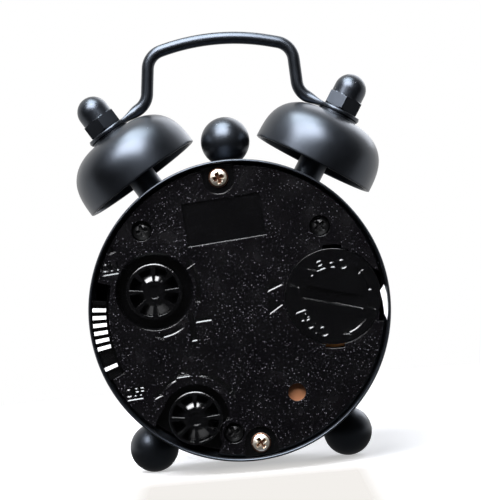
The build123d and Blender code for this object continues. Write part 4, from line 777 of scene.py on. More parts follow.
@dataclass(frozen=True)
class Case:
    """The drum of the case, whose rear rim is flared and rounded over."""

    sizes: CaseSizes = CaseSizes()

    def profile(self) -> np.ndarray:
        """The sheet's closed section, outside back and inside forward.

        Formula: both walls widen over the last stretch along a smooth step 3s^2 - 2s^3, and half an
        ellipse joins them at the rim.

        Returns:
            Array of radius and depth in mm.
        """
        size = self.sizes
        share = np.linspace(0, 1, 10)
        step = smooth_step(share)
        flare = size.flare_start + share
        outer = np.stack([size.radius + (size.rim_radius - size.radius) * step, flare], axis=-1)
        bore = size.radius - size.wall
        inner = np.stack([bore + (size.rim_bore - bore) * step, flare - size.lip], axis=-1)
        around = np.linspace(0, pi, 17)
        middle, half = (size.rim_radius + size.rim_bore) / 2, (size.rim_radius - size.rim_bore) / 2
        lip = np.stack([middle + half * np.cos(around), size.rear - size.lip + size.lip * np.sin(around)],
                       axis=-1)
        ends = np.array([[bore, size.front], [size.radius, size.front]])
        return np.concatenate([outer, lip, inner[::-1], ends, outer[:1]])

    def build(self) -> None:
        """Makes the case, whose axis lies along Y, and the white sheet beside the door, a painted reflection.
        """
        size = self.sizes
        points = turned_surface(self.profile(), 192)[..., [0, 2, 1]]
        mesh = grid_mesh("spun_case", PLACE.upright(points), sharp=40)
        piece("spun_case", mesh, Finishes.enamel, ROOT_BODY, ("case_barrel",))
        # Painted reflection: a thin white sheet in the notch stands in for the bright reflection seen there.
        radius, turn = np.array(size.sliver).T
        outline = np.stack([radius * np.cos(np.radians(turn)), radius * np.sin(np.radians(turn))], axis=-1)
        sliver = plate_mesh(outline)
        move_points(sliver, lambda points: PLACE.behind(
            np.column_stack([points[:, :2], size.sliver_depth + points[:, 2] * size.sliver_thinness])))
        sliver.name = "painted_reflection_in_notch"
        piece("painted_reflection_in_notch", tidy_mesh(sliver), Finishes.primer, ROOT_BODY)


@dataclass(frozen=True)
class BellSizes:
    """Sizes of one bell and what holds it, in mm and degrees.

    Attributes:
        tilt: Lean of the bell's axis from the vertical.
        crown_radius: Radius of the flat crown.
        rim_from_centre: From the case's middle to the bell's rim.
        bulge: Power that makes the lower wall steep.
        shoulder: Power that rounds the wall into the crown.
        lip: How far the rounded rim hangs down.
        nut_base: From the case's middle to the nut's base.
        nut_chamfer: Slope of the cone that cuts the hexagon's corners.
    """

    tilt: float = 31.8
    radius: float = 10.3
    height: float = 8.6
    wall: float = 0.7
    crown_radius: float = 3.5
    rim_from_centre: float = 26.6
    bulge: float = 3.0
    shoulder: float = 0.515
    lip: float = 0.12
    nut_base: float = 36.4
    nut_flats: float = 5.5
    nut_hex_height: float = 2.4
    nut_dome_radius: float = 2.62
    nut_height: float = 6.3
    nut_chamfer: float = 1.9
    screw_radius: float = 1.5


@dataclass(frozen=True)
class Bells:
    """The two spun bells with their dome nuts."""

    sizes: BellSizes = BellSizes()

    def shell_profile(self) -> np.ndarray:
        """The bell's wall as one closed profile, outside up and inside down.

        Formula: radius = crown + (rim - crown) * (1 - t ** bulge) ** shoulder, where t is the share
        of the height; the inner line is the same curve, smaller by the wall, and the rim is a half circle.

        Returns:
            Array of radius and height in mm.
        """
        size = self.sizes
        # The steps are finer towards the crown, where the wall curves most.
        share = 1 - np.linspace(1, 0, 60) ** 1.8

        def line(rim: float, top: float) -> np.ndarray:
            """One of the wall's two lines, from the rim's radius up to the top."""
            radius = size.crown_radius + (rim - size.crown_radius) * (1 - share ** size.bulge) ** size.shoulder
            return np.stack([radius, top * share], axis=-1)

        outer = line(size.radius, size.height)
        inner = line(size.radius - size.wall, size.height - size.wall)
        hole = size.screw_radius
        crown = np.array([[hole, size.height], [hole, size.height - size.wall]])
        around = np.linspace(0, pi, 9)[1:-1]
        middle = size.radius - size.wall / 2
        lip = np.stack([middle - size.wall / 2 * np.cos(around), -size.lip * np.sin(around)], axis=-1)
        return np.concatenate([outer, crown, inner[::-1], lip, outer[:1]])

    def nut_surface(self) -> np.ndarray:
        """A dome nut from its base to its tip.

        Formula: the hexagon's radius is the half flat over the cosine of the angle from the nearest
        flat's middle, cut by a cone at top and bottom; above it a cylinder and a quarter circle.

        Returns:
            Array of heights by angles by three, in mm.
        """
        size = self.sizes
        angle = np.linspace(0, 2 * pi, 96, endpoint=False)
        flat = size.nut_flats / 2
        hexagon = flat / np.cos((angle + pi / 6) % (pi / 3) - pi / 6)
        # The steps are finer at both ends, where the cones cut the corners.
        height = np.concatenate([np.linspace(0, 0.5, 6), np.linspace(0.6, size.nut_hex_height - 0.6, 4),
                                 np.linspace(size.nut_hex_height - 0.5, size.nut_hex_height, 6)])[:, None]
        near_end = np.minimum(height, size.nut_hex_height - height)
        cone = flat + 0.02 + size.nut_chamfer * np.maximum(near_end, 0.0)
        radius = np.minimum(hexagon[None, :], cone)
        straight = size.nut_height - size.nut_dome_radius
        quarter = np.linspace(0, pi / 2, 18)
        dome_radius = np.concatenate([[size.nut_dome_radius] * 2, size.nut_dome_radius * np.cos(quarter)])
        dome_height = np.concatenate([[size.nut_hex_height, straight - 0.2],
                                      straight + size.nut_dome_radius * np.sin(quarter)])
        radius = np.concatenate([np.zeros((1, 96)), radius, dome_radius[:, None] + 0 * angle])
        height = np.concatenate([[[0.0]], height, dome_height[:, None]]) + 0 * angle
        return np.stack([radius * np.cos(angle), radius * np.sin(angle), height], axis=-1)

    def build(self) -> None:
        """Makes both bells and both nuts."""
        size = self.sizes
        shell = turned_surface(self.shell_profile(), 128) + (0, 0, size.rim_from_centre)
        nut = self.nut_surface() + (0, 0, size.nut_base)
        nuts = []
        for side, word in ((-1, "left"), (1, "right")):
            points = PLACE.radial(shell, side * size.tilt)
            piece(f"spun_bell_{word}", grid_mesh(f"spun_bell_{word}", points), Finishes.enamel, ROOT_BODY,
                  (f"bell_{word}",))
            nuts.append(grid_mesh(f"nut_{word}", PLACE.radial(nut, side * size.tilt), sharp=25))
        piece("domed_cap_nuts", tidy_mesh(joined_mesh("domed_cap_nuts", nuts), 25), Finishes.enamel, ROOT_BODY,
              ("dome_nuts",))


@dataclass(frozen=True)
class HandleSizes:
    """Sizes of the wire handle, in mm and degrees.

    Attributes:
        tilt: Lean of the bells, whose posts carry the eyes.
        eye_height: Distance of the eyes' middles from the case's middle.
        neck_start: Where the flat eye begins to round to wire, from the eye's middle.
        neck_end: Where it is round.
        shoulder: From the eye's middle to the lower corner.
        top_half_width: From the middle to the upper corner.
        arch_angle: Slope of the top's ends.
        spread: How much further out the far upper corner stands.
        fine: How much of each end is drawn in finer steps.
    """

    tilt: float = BellSizes.tilt
    eye_height: float = 36.0
    eye_radius: float = 3.6
    eye_thickness: float = 0.8
    neck_start: float = 2.9
    neck_end: float = 6.1
    neck_width: float = 3.4
    wire_radius: float = 1.0
    shoulder: float = 7.9
    top_half_width: float = 11.356
    top: float = 45.39
    arch_angle: float = 14.6
    arch_radius: float = 35.0
    bend_radius: float = 3.2
    spread: float = 0.9
    fine: float = 10.0


@dataclass(frozen=True)
class Handle:
    """One bent wire whose ends are hammered into flat eyes."""

    sizes: HandleSizes = HandleSizes()

    def corners(self) -> tuple[np.ndarray, np.ndarray]:
        """The corners of the wire's route and the radius of the bend at each.

        Returns:
            Array of x and z in mm, and the bend radii.
        """
        size = self.sizes
        tilt = radians(size.tilt)
        eye = np.array([sin(tilt), cos(tilt)]) * size.eye_height
        inward = np.array([-cos(tilt), sin(tilt)])
        slope = radians(size.arch_angle)
        peak = size.top - size.wire_radius + size.arch_radius * (1 / cos(slope) - 1)

        def leg(spread: float) -> list[np.ndarray]:
            """The corners of one leg, from its end to its upper corner.

            Args:
                spread: How much further out its upper corner stands, in mm.

            Returns:
                Three corners, as x and z in mm.
            """
            half_width = size.top_half_width + spread
            return [eye - inward * size.eye_radius, eye + inward * (size.shoulder - spread / 2),
                    np.array([half_width, peak - half_width * tan(slope)])]

        left = [corner * (-1, 1) for corner in reversed(leg(size.spread))]
        route = np.array([*leg(0.0), np.array([0.0, peak]), *left])
        bends = np.array([size.bend_radius] * 2 + [size.arch_radius] + [size.bend_radius] * 2)
        return route, bends

    def route(self) -> np.ndarray:
        """The wire's middle line: straight runs joined by tangent arcs.

        Formula: at each corner the arc starts and ends at radius * tan(half the turn) from it, and its
        points lie on the circle about the point that both runs touch.

        Returns:
            Array of x and z in mm along the line.
        """
        route, bends = self.corners()
        parts = [route[:1]]
        for before, corner, after, radius in zip(route[:-2], route[1:-1], route[2:], bends):
            incoming = (corner - before) / np.linalg.norm(corner - before)
            outgoing = (after - corner) / np.linalg.norm(after - corner)
            turn = np.arctan2(incoming[0] * outgoing[1] - incoming[1] * outgoing[0], incoming @ outgoing)
            reach = radius * abs(tan(turn / 2))
            side = np.array([-incoming[1], incoming[0]]) * np.sign(turn)
            centre = corner - incoming * reach + side * radius
            angle = np.linspace(0, turn, 24)[:, None]
            arm = -side * radius
            swept = np.concatenate([arm[0] * np.cos(angle) - arm[1] * np.sin(angle),
                                    arm[0] * np.sin(angle) + arm[1] * np.cos(angle)], axis=1)
            parts.append(centre + swept)
        parts.append(route[-1:])
        line = np.concatenate(parts)
        length, fine = travelled(line), self.sizes.fine
        total = length[-1]
        even = np.concatenate([np.linspace(0, fine, 60, endpoint=False), np.linspace(fine, total - fine, 150),
                               np.linspace(total - fine, total, 61)[1:]])
        return np.stack([np.interp(even, length, line[:, axis]) for axis in (0, 1)], axis=-1)

    def half_sizes(self, distance: np.ndarray) -> tuple[np.ndarray, np.ndarray]:
        """The section's half width and half thickness at a distance from the nearer end.

        Formula: inside the eye the half width follows its circle, then it narrows along a smooth step
        to the wire's radius while the half thickness grows to it.

        Args:
            distance: Distances from the nearer end in mm.

        Returns:
            Half widths and half thicknesses in mm.
        """
        size = self.sizes
        from_middle = distance - size.eye_radius
        eye = np.sqrt(np.maximum(size.eye_radius ** 2 - from_middle ** 2, 0.0))
        share = np.clip((from_middle - size.neck_start) / (size.neck_end - size.neck_start), 0, 1)
        ease = smooth_step(share)
        neck = size.neck_width / 2 + (size.wire_radius - size.neck_width / 2) * ease
        in_eye = np.maximum(eye, np.where(from_middle > 0, neck, 0))
        width = np.where(from_middle < size.neck_start, in_eye, neck)
        thick = size.eye_thickness / 2 + (size.wire_radius - size.eye_thickness / 2) * ease
        thin = 0.02
        return np.maximum(width, thin), np.minimum(thick, np.maximum(distance * 3, thin))

    def surface(self) -> np.ndarray:
        """The handle's skin.

        Formula: at each point of the route a rounded section whose corners soften from nearly square
        at the flat eye to a full circle on the wire, laid across the route's direction and along Y.

        Returns:
            Array of stations by angles by three, in mm.
        """
        size = self.sizes
        line = self.route()
        step = np.gradient(line, axis=0)
        step /= np.linalg.norm(step, axis=1, keepdims=True)
        across = np.stack([-step[:, 1], step[:, 0]], axis=-1)
        length = travelled(line)
        width, thick = self.half_sizes(np.minimum(length, length[-1] - length))
        flat = size.eye_thickness / 2
        roundness = np.clip((thick - flat) / (size.wire_radius - flat), 0, 1)
        power = (0.35 + 0.65 * roundness)[:, None]
        angle = np.linspace(0, 2 * pi, 40, endpoint=False)[None, :]
        along_y = width[:, None] * np.sign(np.cos(angle)) * np.abs(np.cos(angle)) ** power
        outward = thick[:, None] * np.sign(np.sin(angle)) * np.abs(np.sin(angle)) ** power
        x = line[:, 0:1] + across[:, 0:1] * outward
        z = line[:, 1:2] + across[:, 1:2] * outward
        skin = np.stack([x, along_y, z], axis=-1)
        ends = [np.repeat(skin[k:k + 1].mean(axis=1, keepdims=True), skin.shape[1], axis=1) for k in (0, -1)]
        return np.concatenate([ends[0], skin, ends[1]])

    def build(self) -> None:
        """Makes the handle."""
        mesh = grid_mesh("bent_wire_handle", PLACE.upright(self.surface()), sharp=50)
        piece("bent_wire_handle", mesh, Finishes.enamel, ROOT_BODY, ("handle",))


@dataclass(frozen=True)
class BallSizes:
    """Sizes of the three balls, in mm and degrees."""

    radius: float = 4.0
    barrel_radius: float = CaseSizes.radius
    top_seat: float = 0.15
    foot_seat: float = 0.5
    foot_angle: float = 36.3
    foot_depth: float = -3.0


@dataclass(frozen=True)
class Balls:
    """The ball on top and the two feet."""

    sizes: BallSizes = BallSizes()

    def surface(self, seat: float) -> np.ndarray:
        """A ball with a flat seat on the barrel.

        Formula: radius sin a and height -radius cos a, with a from the seat's edge to the far pole.

        Args:
            seat: How far the ball sinks onto its seat, in mm.

        Returns:
            Array of rings by sides by three, in mm.
        """
        size = self.sizes
        start = np.arccos((size.radius - seat) / size.radius)
        angle = np.linspace(start, pi, 64)
        ring = np.stack([size.radius * np.sin(angle), -size.radius * np.cos(angle)], axis=-1)
        flat = np.array([[0.0, ring[0, 1]]])
        middle = size.barrel_radius + size.radius - seat
        return turned_surface(np.concatenate([flat, ring])) + (0, 0, middle)

    def build(self) -> None:
        """Makes the three balls."""
        size = self.sizes
        foot = 180 - size.foot_angle
        for name, node, seat, direction, depth in (
                ("ball_finial", "top_ball", size.top_seat, 0.0, 0.0),
                ("ball_foot_left", "foot_left", size.foot_seat, -foot, size.foot_depth),
                ("ball_foot_right", "foot_right", size.foot_seat, foot, size.foot_depth)):
            points = PLACE.radial(self.surface(seat), direction, depth)
            piece(name, grid_mesh(name, points), Finishes.enamel, ROOT_BODY, (node,))


# Marks: letters, arrows and lines, cut into the cover and door or printed on the dial
@dataclass(frozen=True)
class Word:
    """A word set flat or round an arc.

    Attributes:
        letters: The word.
        height: Height of a capital, in mm.
        spot: Middle of the word, or of its arc.
        radius: Radius of the arc, or zero for a straight word.
        directions: Direction of each letter on the arc.
        inward: Whether the letters' tops point to the arc's middle.
    """

    letters: str
    height: float
    spot: Pair
    radius: float = 0.0
    directions: tuple[float, ...] = ()
    inward: bool = False

    def meshes(self) -> list[Mesh]:
        """Builds the word as closed shapes to cut with.

        Returns:
            One mesh in mm for the word, or for each letter on an arc.
        """
        if not self.radius:
            return [placed_letters(self.letters, self.height, self.spot, 0.0)]
        upright = 90 if self.inward else -90
        return [placed_letters(letter, self.height, tuple(np.array(self.spot) + self.radius * spoke(direction)),
                               direction + upright)
                for letter, direction in zip(self.letters, self.directions)]


def placed_letters(letters: str, height: float, spot: Pair, turn: float) -> Mesh:
    """Sets letters about a spot.

    Args:
        letters: What to write.
        height: Height of a capital in mm.
        spot: Middle of the letters.
        turn: Turn in degrees.

    Returns:
        A closed mesh in mm with its full width within MARK_HALF of zero and its floor below that.
    """
    capital_share = 0.69
    curve = bpy.data.curves.new("letters", "FONT")
    curve.body = letters
    curve.size = height / capital_share
    curve.align_x, curve.align_y = "CENTER", "CENTER"
    curve.extrude = MARK_HALF
    curve.bevel_depth = MARK_SLOPE
    curve.offset = -MARK_INSET
    curve.bevel_resolution = 0
    curve.resolution_u = 3
    holder = placed_object("letters", curve)
    bpy.context.view_layer.update()
    mesh = bpy.data.meshes.new_from_object(holder)
    bpy.data.objects.remove(holder)
    bpy.data.curves.remove(curve)
    mesh.transform(Matrix.Translation((*spot, 0)) @ Matrix.Rotation(radians(turn), 4, "Z"))
    return tidy_mesh(mesh)


def plate_mesh(outline: np.ndarray) -> Mesh:
    """A flat outline made thick, with sloped sides down to its floor.

    Formula: each corner of the floor lies inside the outline's corner, along the sum of the two
    edges' inward normals over one plus their product.

    Args:
        outline: Array of right and up, anticlockwise, in mm.

    Returns:
        A closed mesh in mm with its floor at MARK_FLOOR and its full width within MARK_HALF of zero.
    """
    edge = np.roll(outline, -1, axis=0) - outline
    edge /= np.linalg.norm(edge, axis=1, keepdims=True)
    inward = np.stack([-edge[:, 1], edge[:, 0]], axis=-1)
    before = np.roll(inward, 1, axis=0)
    mitre = (inward + before) / np.maximum(1 + np.sum(inward * before, axis=1, keepdims=True), 0.4)
    brim = MARK_SLOPE - MARK_INSET
    levels = [(outline + mitre * MARK_INSET, MARK_FLOOR), (outline - mitre * brim, -MARK_HALF),
              (outline - mitre * brim, MARK_HALF)]
    points = np.concatenate([np.column_stack([ring, np.full(len(ring), level)]) for ring, level in levels])
    count = len(outline)
    near = np.arange(count)
    following = (near + 1) % count
    faces = [near[::-1].tolist(), (near + (len(levels) - 1) * count).tolist()]
    for low in (0, count):
        high = low + count
        faces += np.column_stack([near + low, following + low, following + high, near + high]).tolist()
    mesh = bpy.data.meshes.new("mark")
    mesh.from_pydata(points.tolist(), [], faces)
    return tidy_mesh(mesh)


def arc_band(spot: Pair, radius: float, width: float, start: float, end: float) -> np.ndarray:
    """The outline of a band along an arc.

    Formula: the outer edge out and the inner edge back, at the radius plus and minus half the width.

    Args:
        spot: Middle of the arc.
        radius: Middle radius in mm.
        width: Width in mm.
        start: First direction in degrees.
        end: Last direction in degrees, larger than the first.

    Returns:
        Array of right and up in mm.
    """
    angle = np.radians(np.linspace(start, end, max(3, int((end - start) / 4) + 2)))
    spokes = np.stack([np.cos(angle), np.sin(angle)], axis=-1)
    return np.array(spot) + np.concatenate([spokes * (radius + width / 2), spokes[::-1] * (radius - width / 2)])


def arrow_head(spot: Pair, radius: float, direction: float, size: float, sense: int) -> np.ndarray:
    """A triangle on an arc that points along it.

    Args:
        spot: Middle of the arc.
        radius: Radius of the arc in mm.
        direction: Where the triangle's base is, in degrees.
        size: Length of the triangle in mm.
        sense: 1 for anticlockwise, -1 for clockwise.

    Returns:
        Array of right and up in mm, anticlockwise.
    """
    out = spoke(direction)
    along = np.array([-out[1], out[0]]) * sense
    base = np.array(spot) + out * radius
    corners = np.array([base - out * size * 0.55, base + out * size * 0.55, base + along * size])
    return corners if sense > 0 else corners[::-1]


def strip(start: Pair, end: Pair, width: float) -> np.ndarray:
    """The outline of a straight bar.

    Args:
        start: Middle of its first end.
        end: Middle of its last end.
        width: Its width in mm.

    Returns:
        Array of right and up in mm, anticlockwise.
    """
    first, last = np.array(start), np.array(end)
    along = (last - first) / np.linalg.norm(last - first)
    side = np.array([along[1], -along[0]]) * width / 2
    return np.array([first + side, last + side, last - side, first - side])


@dataclass(frozen=True)
class Arrow:
    """An arrow that curves about a spot.

    Attributes:
        spot: Middle of its arc.
        radius: Radius of its middle line in mm.
        width: Width of its band in mm.
        start: First direction of the band in degrees.
        end: Last direction of the band in degrees, larger than the first.
        head: Length of its head in mm.
        sense: 1 for a head at the end, -1 for one at the start.
    """

    spot: Pair
    radius: float
    width: float
    start: float
    end: float
    head: float
    sense: int

    def outlines(self) -> list[np.ndarray]:
        """Draws its band and its head.

        Returns:
            Two outlines of right and up in mm, anticlockwise.
        """
        base = self.end if self.sense > 0 else self.start
        return [arc_band(self.spot, self.radius, self.width, self.start, self.end),
                arrow_head(self.spot, self.radius, base, self.head, self.sense)]


@dataclass(frozen=True)
class Engraver:
    """Cuts marks into a copy of a node's mesh.

    Attributes:
        node: The node whose copy is cut.
        surface_depth: Depth of the marked face in the drawing, in mm.
        depth: Depth of the marks in mm.
    """

    node: str
    surface_depth: float
    depth: float

    def cut(self, name: str, marks: list[Mesh], reshape: Reshape | None = None) -> Mesh:
        """Takes the marks out of the node's copy.

        Args:
            name: The new mesh's name.
            marks: Closed marks in mm, as seen from behind.
            reshape: A change of the copy's points before the marks are cut, if any.

        Returns:
            The engraved mesh, in metres.
        """
        cutter_mesh = joined_mesh("marks", marks)

        def seat(points: np.ndarray) -> np.ndarray:
            """Sinks the marks' floors to their depth and lays them on the face."""
            level = np.interp(points[:, 2], (MARK_FLOOR, -MARK_HALF, MARK_HALF), (-self.depth, 0.0, MARK_HALF))
            return PLACE.behind(np.column_stack([points[:, :2], self.surface_depth + level]))

        move_points(cutter_mesh, seat)
        tidy_mesh(cutter_mesh)
        cutter = placed_object("marks", cutter_mesh)
        blank = placed_object("blank", node_copy(self.node, reshape))
        change = blank.modifiers.new("engraving", "BOOLEAN")
        change.operation = "DIFFERENCE"
        change.solver = "EXACT"
        change.use_self = True
        change.object = cutter
        bpy.context.view_layer.update()
        ready = blank.evaluated_get(bpy.context.evaluated_depsgraph_get())
        engraved = bpy.data.meshes.new_from_object(ready)
        engraved.name = name
        for item in (cutter, blank):
            bpy.data.objects.remove(item)
        return tidy_mesh(engraved, 28)


@dataclass(frozen=True)
class CoverSizes:
    """Places of the marks on the moulded back, in mm and degrees as seen from behind.

    Attributes:
        face: Depth of the marked face.
        mark_depth: Depth of the marks.
        time_knob: Axis of the time-setting knob.
        alarm_knob: Axis of the alarm-setting knob.
        on_spot: Middle of the word at one end of the switch.
        off_spot: Middle of the word at its other end.
        word_height: Height of a capital.
        plate_floor: Depth behind which the plate's edge is widened.
        edge_radius: Radius beyond which a point belongs to that edge.
        rim_step: How far the edge and the track's wall move outwards.
        track: First and last direction of the switch's track.
        track_radius: Radius of the track's inner wall.
        track_floor: Depth of the track's floor.
    """

    face: float = 10.0
    mark_depth: float = 0.13
    time_knob: Pair = (-12.918, 5.063)
    alarm_knob: Pair = (-9.611, -15.807)
    on_spot: Pair = (-19.3, 10.0)
    off_spot: Pair = (-18.6, -10.2)
    word_height: float = 1.25
    plate_floor: float = 8.95
    edge_radius: float = 22.3
    rim_step: float = 0.62
    track: Pair = (159.9, 199.6)
    track_radius: float = 20.2
    track_floor: float = 7.9


@dataclass(frozen=True)
class BackCover:
    """The moulded back with its engraved words, arrows and signs."""

    sizes: CoverSizes = CoverSizes()

    def arrows(self) -> list[np.ndarray]:
        """Draws the turning arrows, the pointers beside the door and the signs.

        Returns:
            Outlines of right and up in mm, anticlockwise.
        """
        time, alarm = self.sizes.time_knob, self.sizes.alarm_knob
        turns = (Arrow(time, 7.1, 0.55, -88, -60, 1.1, -1), Arrow(time, 7.1, 0.55, -22, 26, 1.1, 1),
                 Arrow(alarm, 7.0, 0.5, 109, 137, 1.0, 1), Arrow(alarm, 7.0, 0.5, 28, 75, 1.0, -1))
        hands = [strip((-7.8, 0.6), (-7.8, -3.6), 0.7), strip((-7.1, -0.45), (-4.7, -0.45), 0.7)]
        pointers = [np.array([(4.95, 2.26), (7.2, 2.95), (5.66, 4.3)]),
                    np.array([(4.7, -1.3), (6.81, -0.2), (4.85, 1.15)])]
        bell = [arc_band((alarm[0] - 0.9, alarm[1] + 7.1), 0.5, 0.7, 0, 180),
                strip((alarm[0] - 1.9, alarm[1] + 6.95), (alarm[0] + 0.1, alarm[1] + 6.95), 0.3)]
        switch_pointer = np.array([(-18.9, 12.1), (-18.1, 12.3), (-18.6, 13.1)])
        return [*(outline for turn in turns for outline in turn.outlines()), *hands, *pointers, *bell,
                switch_pointer]

    def marks(self) -> list[Mesh]:
        """Builds all of the cover's marks.

        Returns:
            The marks as closed meshes.
        """
        size = self.sizes
        words = [Word("ON", size.word_height, size.on_spot), Word("OFF", size.word_height, size.off_spot)]
        under = [strip((spot[0] - 1.2, spot[1] - 1.05), (spot[0] + 1.2, spot[1] - 1.05), 0.16)
                 for spot in (size.on_spot, size.off_spot)]
        return [mesh for word in words for mesh in word.meshes()] + \
            [plate_mesh(outline) for outline in self.arrows() + under]

    def fill_rim(self, points: np.ndarray) -> np.ndarray:
        """Widens the plate to the flared rim and shifts the switch's track with it.

        Formula: the plate's edge and the track's inner wall move outwards by the same step.

        Args:
            points: Right, up and depth in mm.

        Returns:
            The moved points.
        """
        size = self.sizes
        radius, angle = polar(points)
        edge = (points[:, 2] > size.plate_floor) & (radius > size.edge_radius)
        in_track = (angle > size.track[0] - 1) & (angle < size.track[1] + 1)
        wall = in_track & (np.abs(radius - size.track_radius) < 0.03) & (points[:, 2] > size.track_floor)
        step = size.rim_step * (edge | wall)
        return points * np.stack([1 + step / radius, 1 + step / radius, np.ones_like(step)], axis=-1)

    def build(self) -> None:
        """Makes the engraved cover."""
        engraver = Engraver("movement_back_cover", self.sizes.face, self.sizes.mark_depth)
        mesh = engraver.cut("engraved_back_cover", self.marks(), self.fill_rim)
        piece("engraved_back_cover", mesh, Finishes.cover, ROOT_BODY, ("movement_back_cover",))
        # The face alone is grained: the wells, the walls and the marks are as smooth as the door.
        level = (self.sizes.face + PLACE.depth_shift - 0.02) * MM
        dress_part(mesh, Finishes.gloss,
                   lambda middles, normals: (middles[:, 1] < level) | (normals[:, 1] < 0.99))


@dataclass(frozen=True)
class ScrewSizes:
    """The cross recesses of the screws on the back, in mm and degrees as seen from behind.

    Attributes:
        case_crosses: Right, up and turn of the two silver screws.
        cover_crosses: Right, up and turn of the three black screws.
        arm_length: From end to end of a cross's arm, at its floor.
        arm_width: Width of an arm at its floor.
        recess: Depth of a cross.
    """

    case_crosses: tuple[tuple[float, float, float], ...] = ((0.0, 21.3, 6.0), (0.0, -21.3, 28.0))
    cover_crosses: tuple[tuple[float, float, float], ...] = (
        (-13.4, 14.9, 10.0), (14.7, 11.2, 32.0), (-4.0, -19.11, 20.0))
    arm_length: float = 1.75
    arm_width: float = 0.42
    recess: float = 0.75


@dataclass(frozen=True)
class Screws:
    """The screws on the back, with a wide cross recess in each head."""

    sizes: ScrewSizes = ScrewSizes()

    def crosses(self, places: tuple[tuple[float, float, float], ...]) -> list[Mesh]:
        """Two crossing bars for each screw.

        Args:
            places: Right, up and turn of each screw.

        Returns:
            The bars as closed meshes.
        """
        bars = []
        for right, up, turn in places:
            for direction in (turn, turn + 90):
                reach = spoke(direction) * self.sizes.arm_length / 2
                middle = np.array([right, up])
                bar = strip(tuple(middle - reach), tuple(middle + reach), self.sizes.arm_width)
                bars.append(plate_mesh(bar))
        return bars

    def build(self) -> None:
        """Makes the two silver screws and the three black ones."""
        size = self.sizes
        for name, node, places, finish, slot in (
                ("crossed_case_screws", "case_screws", size.case_crosses, Finishes.nickel, "nickel"),
                ("crossed_cover_screws", "cover_screws", size.cover_crosses, Finishes.black_oxide,
                 "black_steel")):
            top = float(PLACE.seen_from_behind(mesh_points(node_copy(node)))[:, 2].max())
            mesh = Engraver(node, top, size.recess).cut(name, self.crosses(places))
            piece(name, mesh, finish, ROOT_BODY, (node,))
            # Painted shade: the lower half of each cross, down to just below its floor, takes the dark finish.
            upper = (top + PLACE.depth_shift - size.recess * 0.5) * MM
            lower = (top + PLACE.depth_shift - size.recess * 1.05) * MM
            inside = Finishes.recess if finish is Finishes.nickel else finish
            dress_part(mesh, inside, lambda middles, normals: (middles[:, 1] < upper) & (middles[:, 1] > lower)
                       & (normals[:, 1] > 0.2))


@dataclass(frozen=True)
class SetterSizes:
    """Sizes of what the fingers turn and slide on the back, in mm and degrees as seen from behind.

    Attributes:
        hub_radius: Radius of a knob's hub, which keeps its size.
        cad_radius: Outer radius of the knobs' nodes.
        time_radius: Outer radius of the time-setting knob.
        alarm_radius: Outer radius of the alarm-setting knob.
        slider_step: How far the slide moves out to the flared rim.
        rib_top: Depth of the ribs' tops.
        rib_drop: How far a rib's top sinks across its width.
        rib_angle: Width of a rib.
        rib_gap: Least angle between the edges of two ribs.
    """

    hub_radius: float = 1.75
    cad_radius: float = 4.15
    time_radius: float = 4.5
    alarm_radius: float = 4.3
    slider_step: float = 0.85
    rib_top: float = 10.45
    rib_drop: float = 0.25
    rib_angle: float = 1.5
    rib_gap: float = 1.2


@dataclass(frozen=True)
class Setters:
    """The two finned knobs and the ribbed slide of the alarm switch."""

    sizes: SetterSizes = SetterSizes()
    cover: CoverSizes = CoverSizes()

    def widened(self, spot: Pair, radius: float) -> Reshape:
        """Stretches a knob's ring away from its hub.

        Formula: beyond the hub the distance from the knob's axis grows in proportion.

        Args:
            spot: The knob's axis.
            radius: The knob's outer radius in mm.

        Returns:
            The change of the points.
        """
        size = self.sizes

        def change(points: np.ndarray) -> np.ndarray:
            """Moves the points beyond the hub.

            Args:
                points: Right, up and depth in mm.

            Returns:
                The moved points.
            """
            away = points[:, :2] - spot
            distance = np.maximum(np.linalg.norm(away, axis=1, keepdims=True), 1e-6)
            stretch = (radius - size.hub_radius) / (size.cad_radius - size.hub_radius)
            wide = size.hub_radius + (distance - size.hub_radius) * stretch
            moved = spot + away * np.where(distance > size.hub_radius, wide / distance, 1.0)
            return np.column_stack([moved, points[:, 2]])

        return change

    def ribbed(self, points: np.ndarray) -> np.ndarray:
        """Moves the slide out to the rim and slopes the tops of its ribs, so that a finger grips them.

        Formula: every point moves outwards by the same step; a rib's top sinks in proportion to the
        angle from its lower edge, by the whole drop at its upper edge. The first rib stays flat.

        Args:
            points: Right, up and depth in mm.

        Returns:
            The moved points.
        """
        size = self.sizes
        radius, angle = polar(points)
        top = points[:, 2] > size.rib_top - 0.02
        edges = np.unique(np.round(angle[top], 2))
        starts = edges[np.concatenate([[True], np.diff(edges) > size.rib_gap])]
        own_start = starts[np.maximum(np.searchsorted(starts - 0.1, angle) - 1, 0)]
        share = np.clip(1 - (angle - own_start) / size.rib_angle, 0, 1)
        depth = points[:, 2] - size.rib_drop * share * (top & (own_start > starts[0]))
        outward = 1 + size.slider_step / radius
        return np.stack([points[:, 0] * outward, points[:, 1] * outward, depth], axis=-1)

    def build(self) -> None:
        """Makes both knobs and the slide."""
        size, cover = self.sizes, self.cover
        for name, node, body, finish, change in (
                ("finned_time_knob", "time_knob", "time_setting", Finishes.gloss,
                 self.widened(cover.time_knob, size.time_radius)),
                ("finned_alarm_knob", "alarm_knob", "alarm_setting", Finishes.gloss,
                 self.widened(cover.alarm_knob, size.alarm_radius)),
                ("ribbed_alarm_slide", "alarm_slider", "switch", Finishes.rubbed, self.ribbed)):
            mesh = node_copy(node, change)
            mesh.name = name
            piece(name, tidy_mesh(mesh, 28), finish, body, (node,))


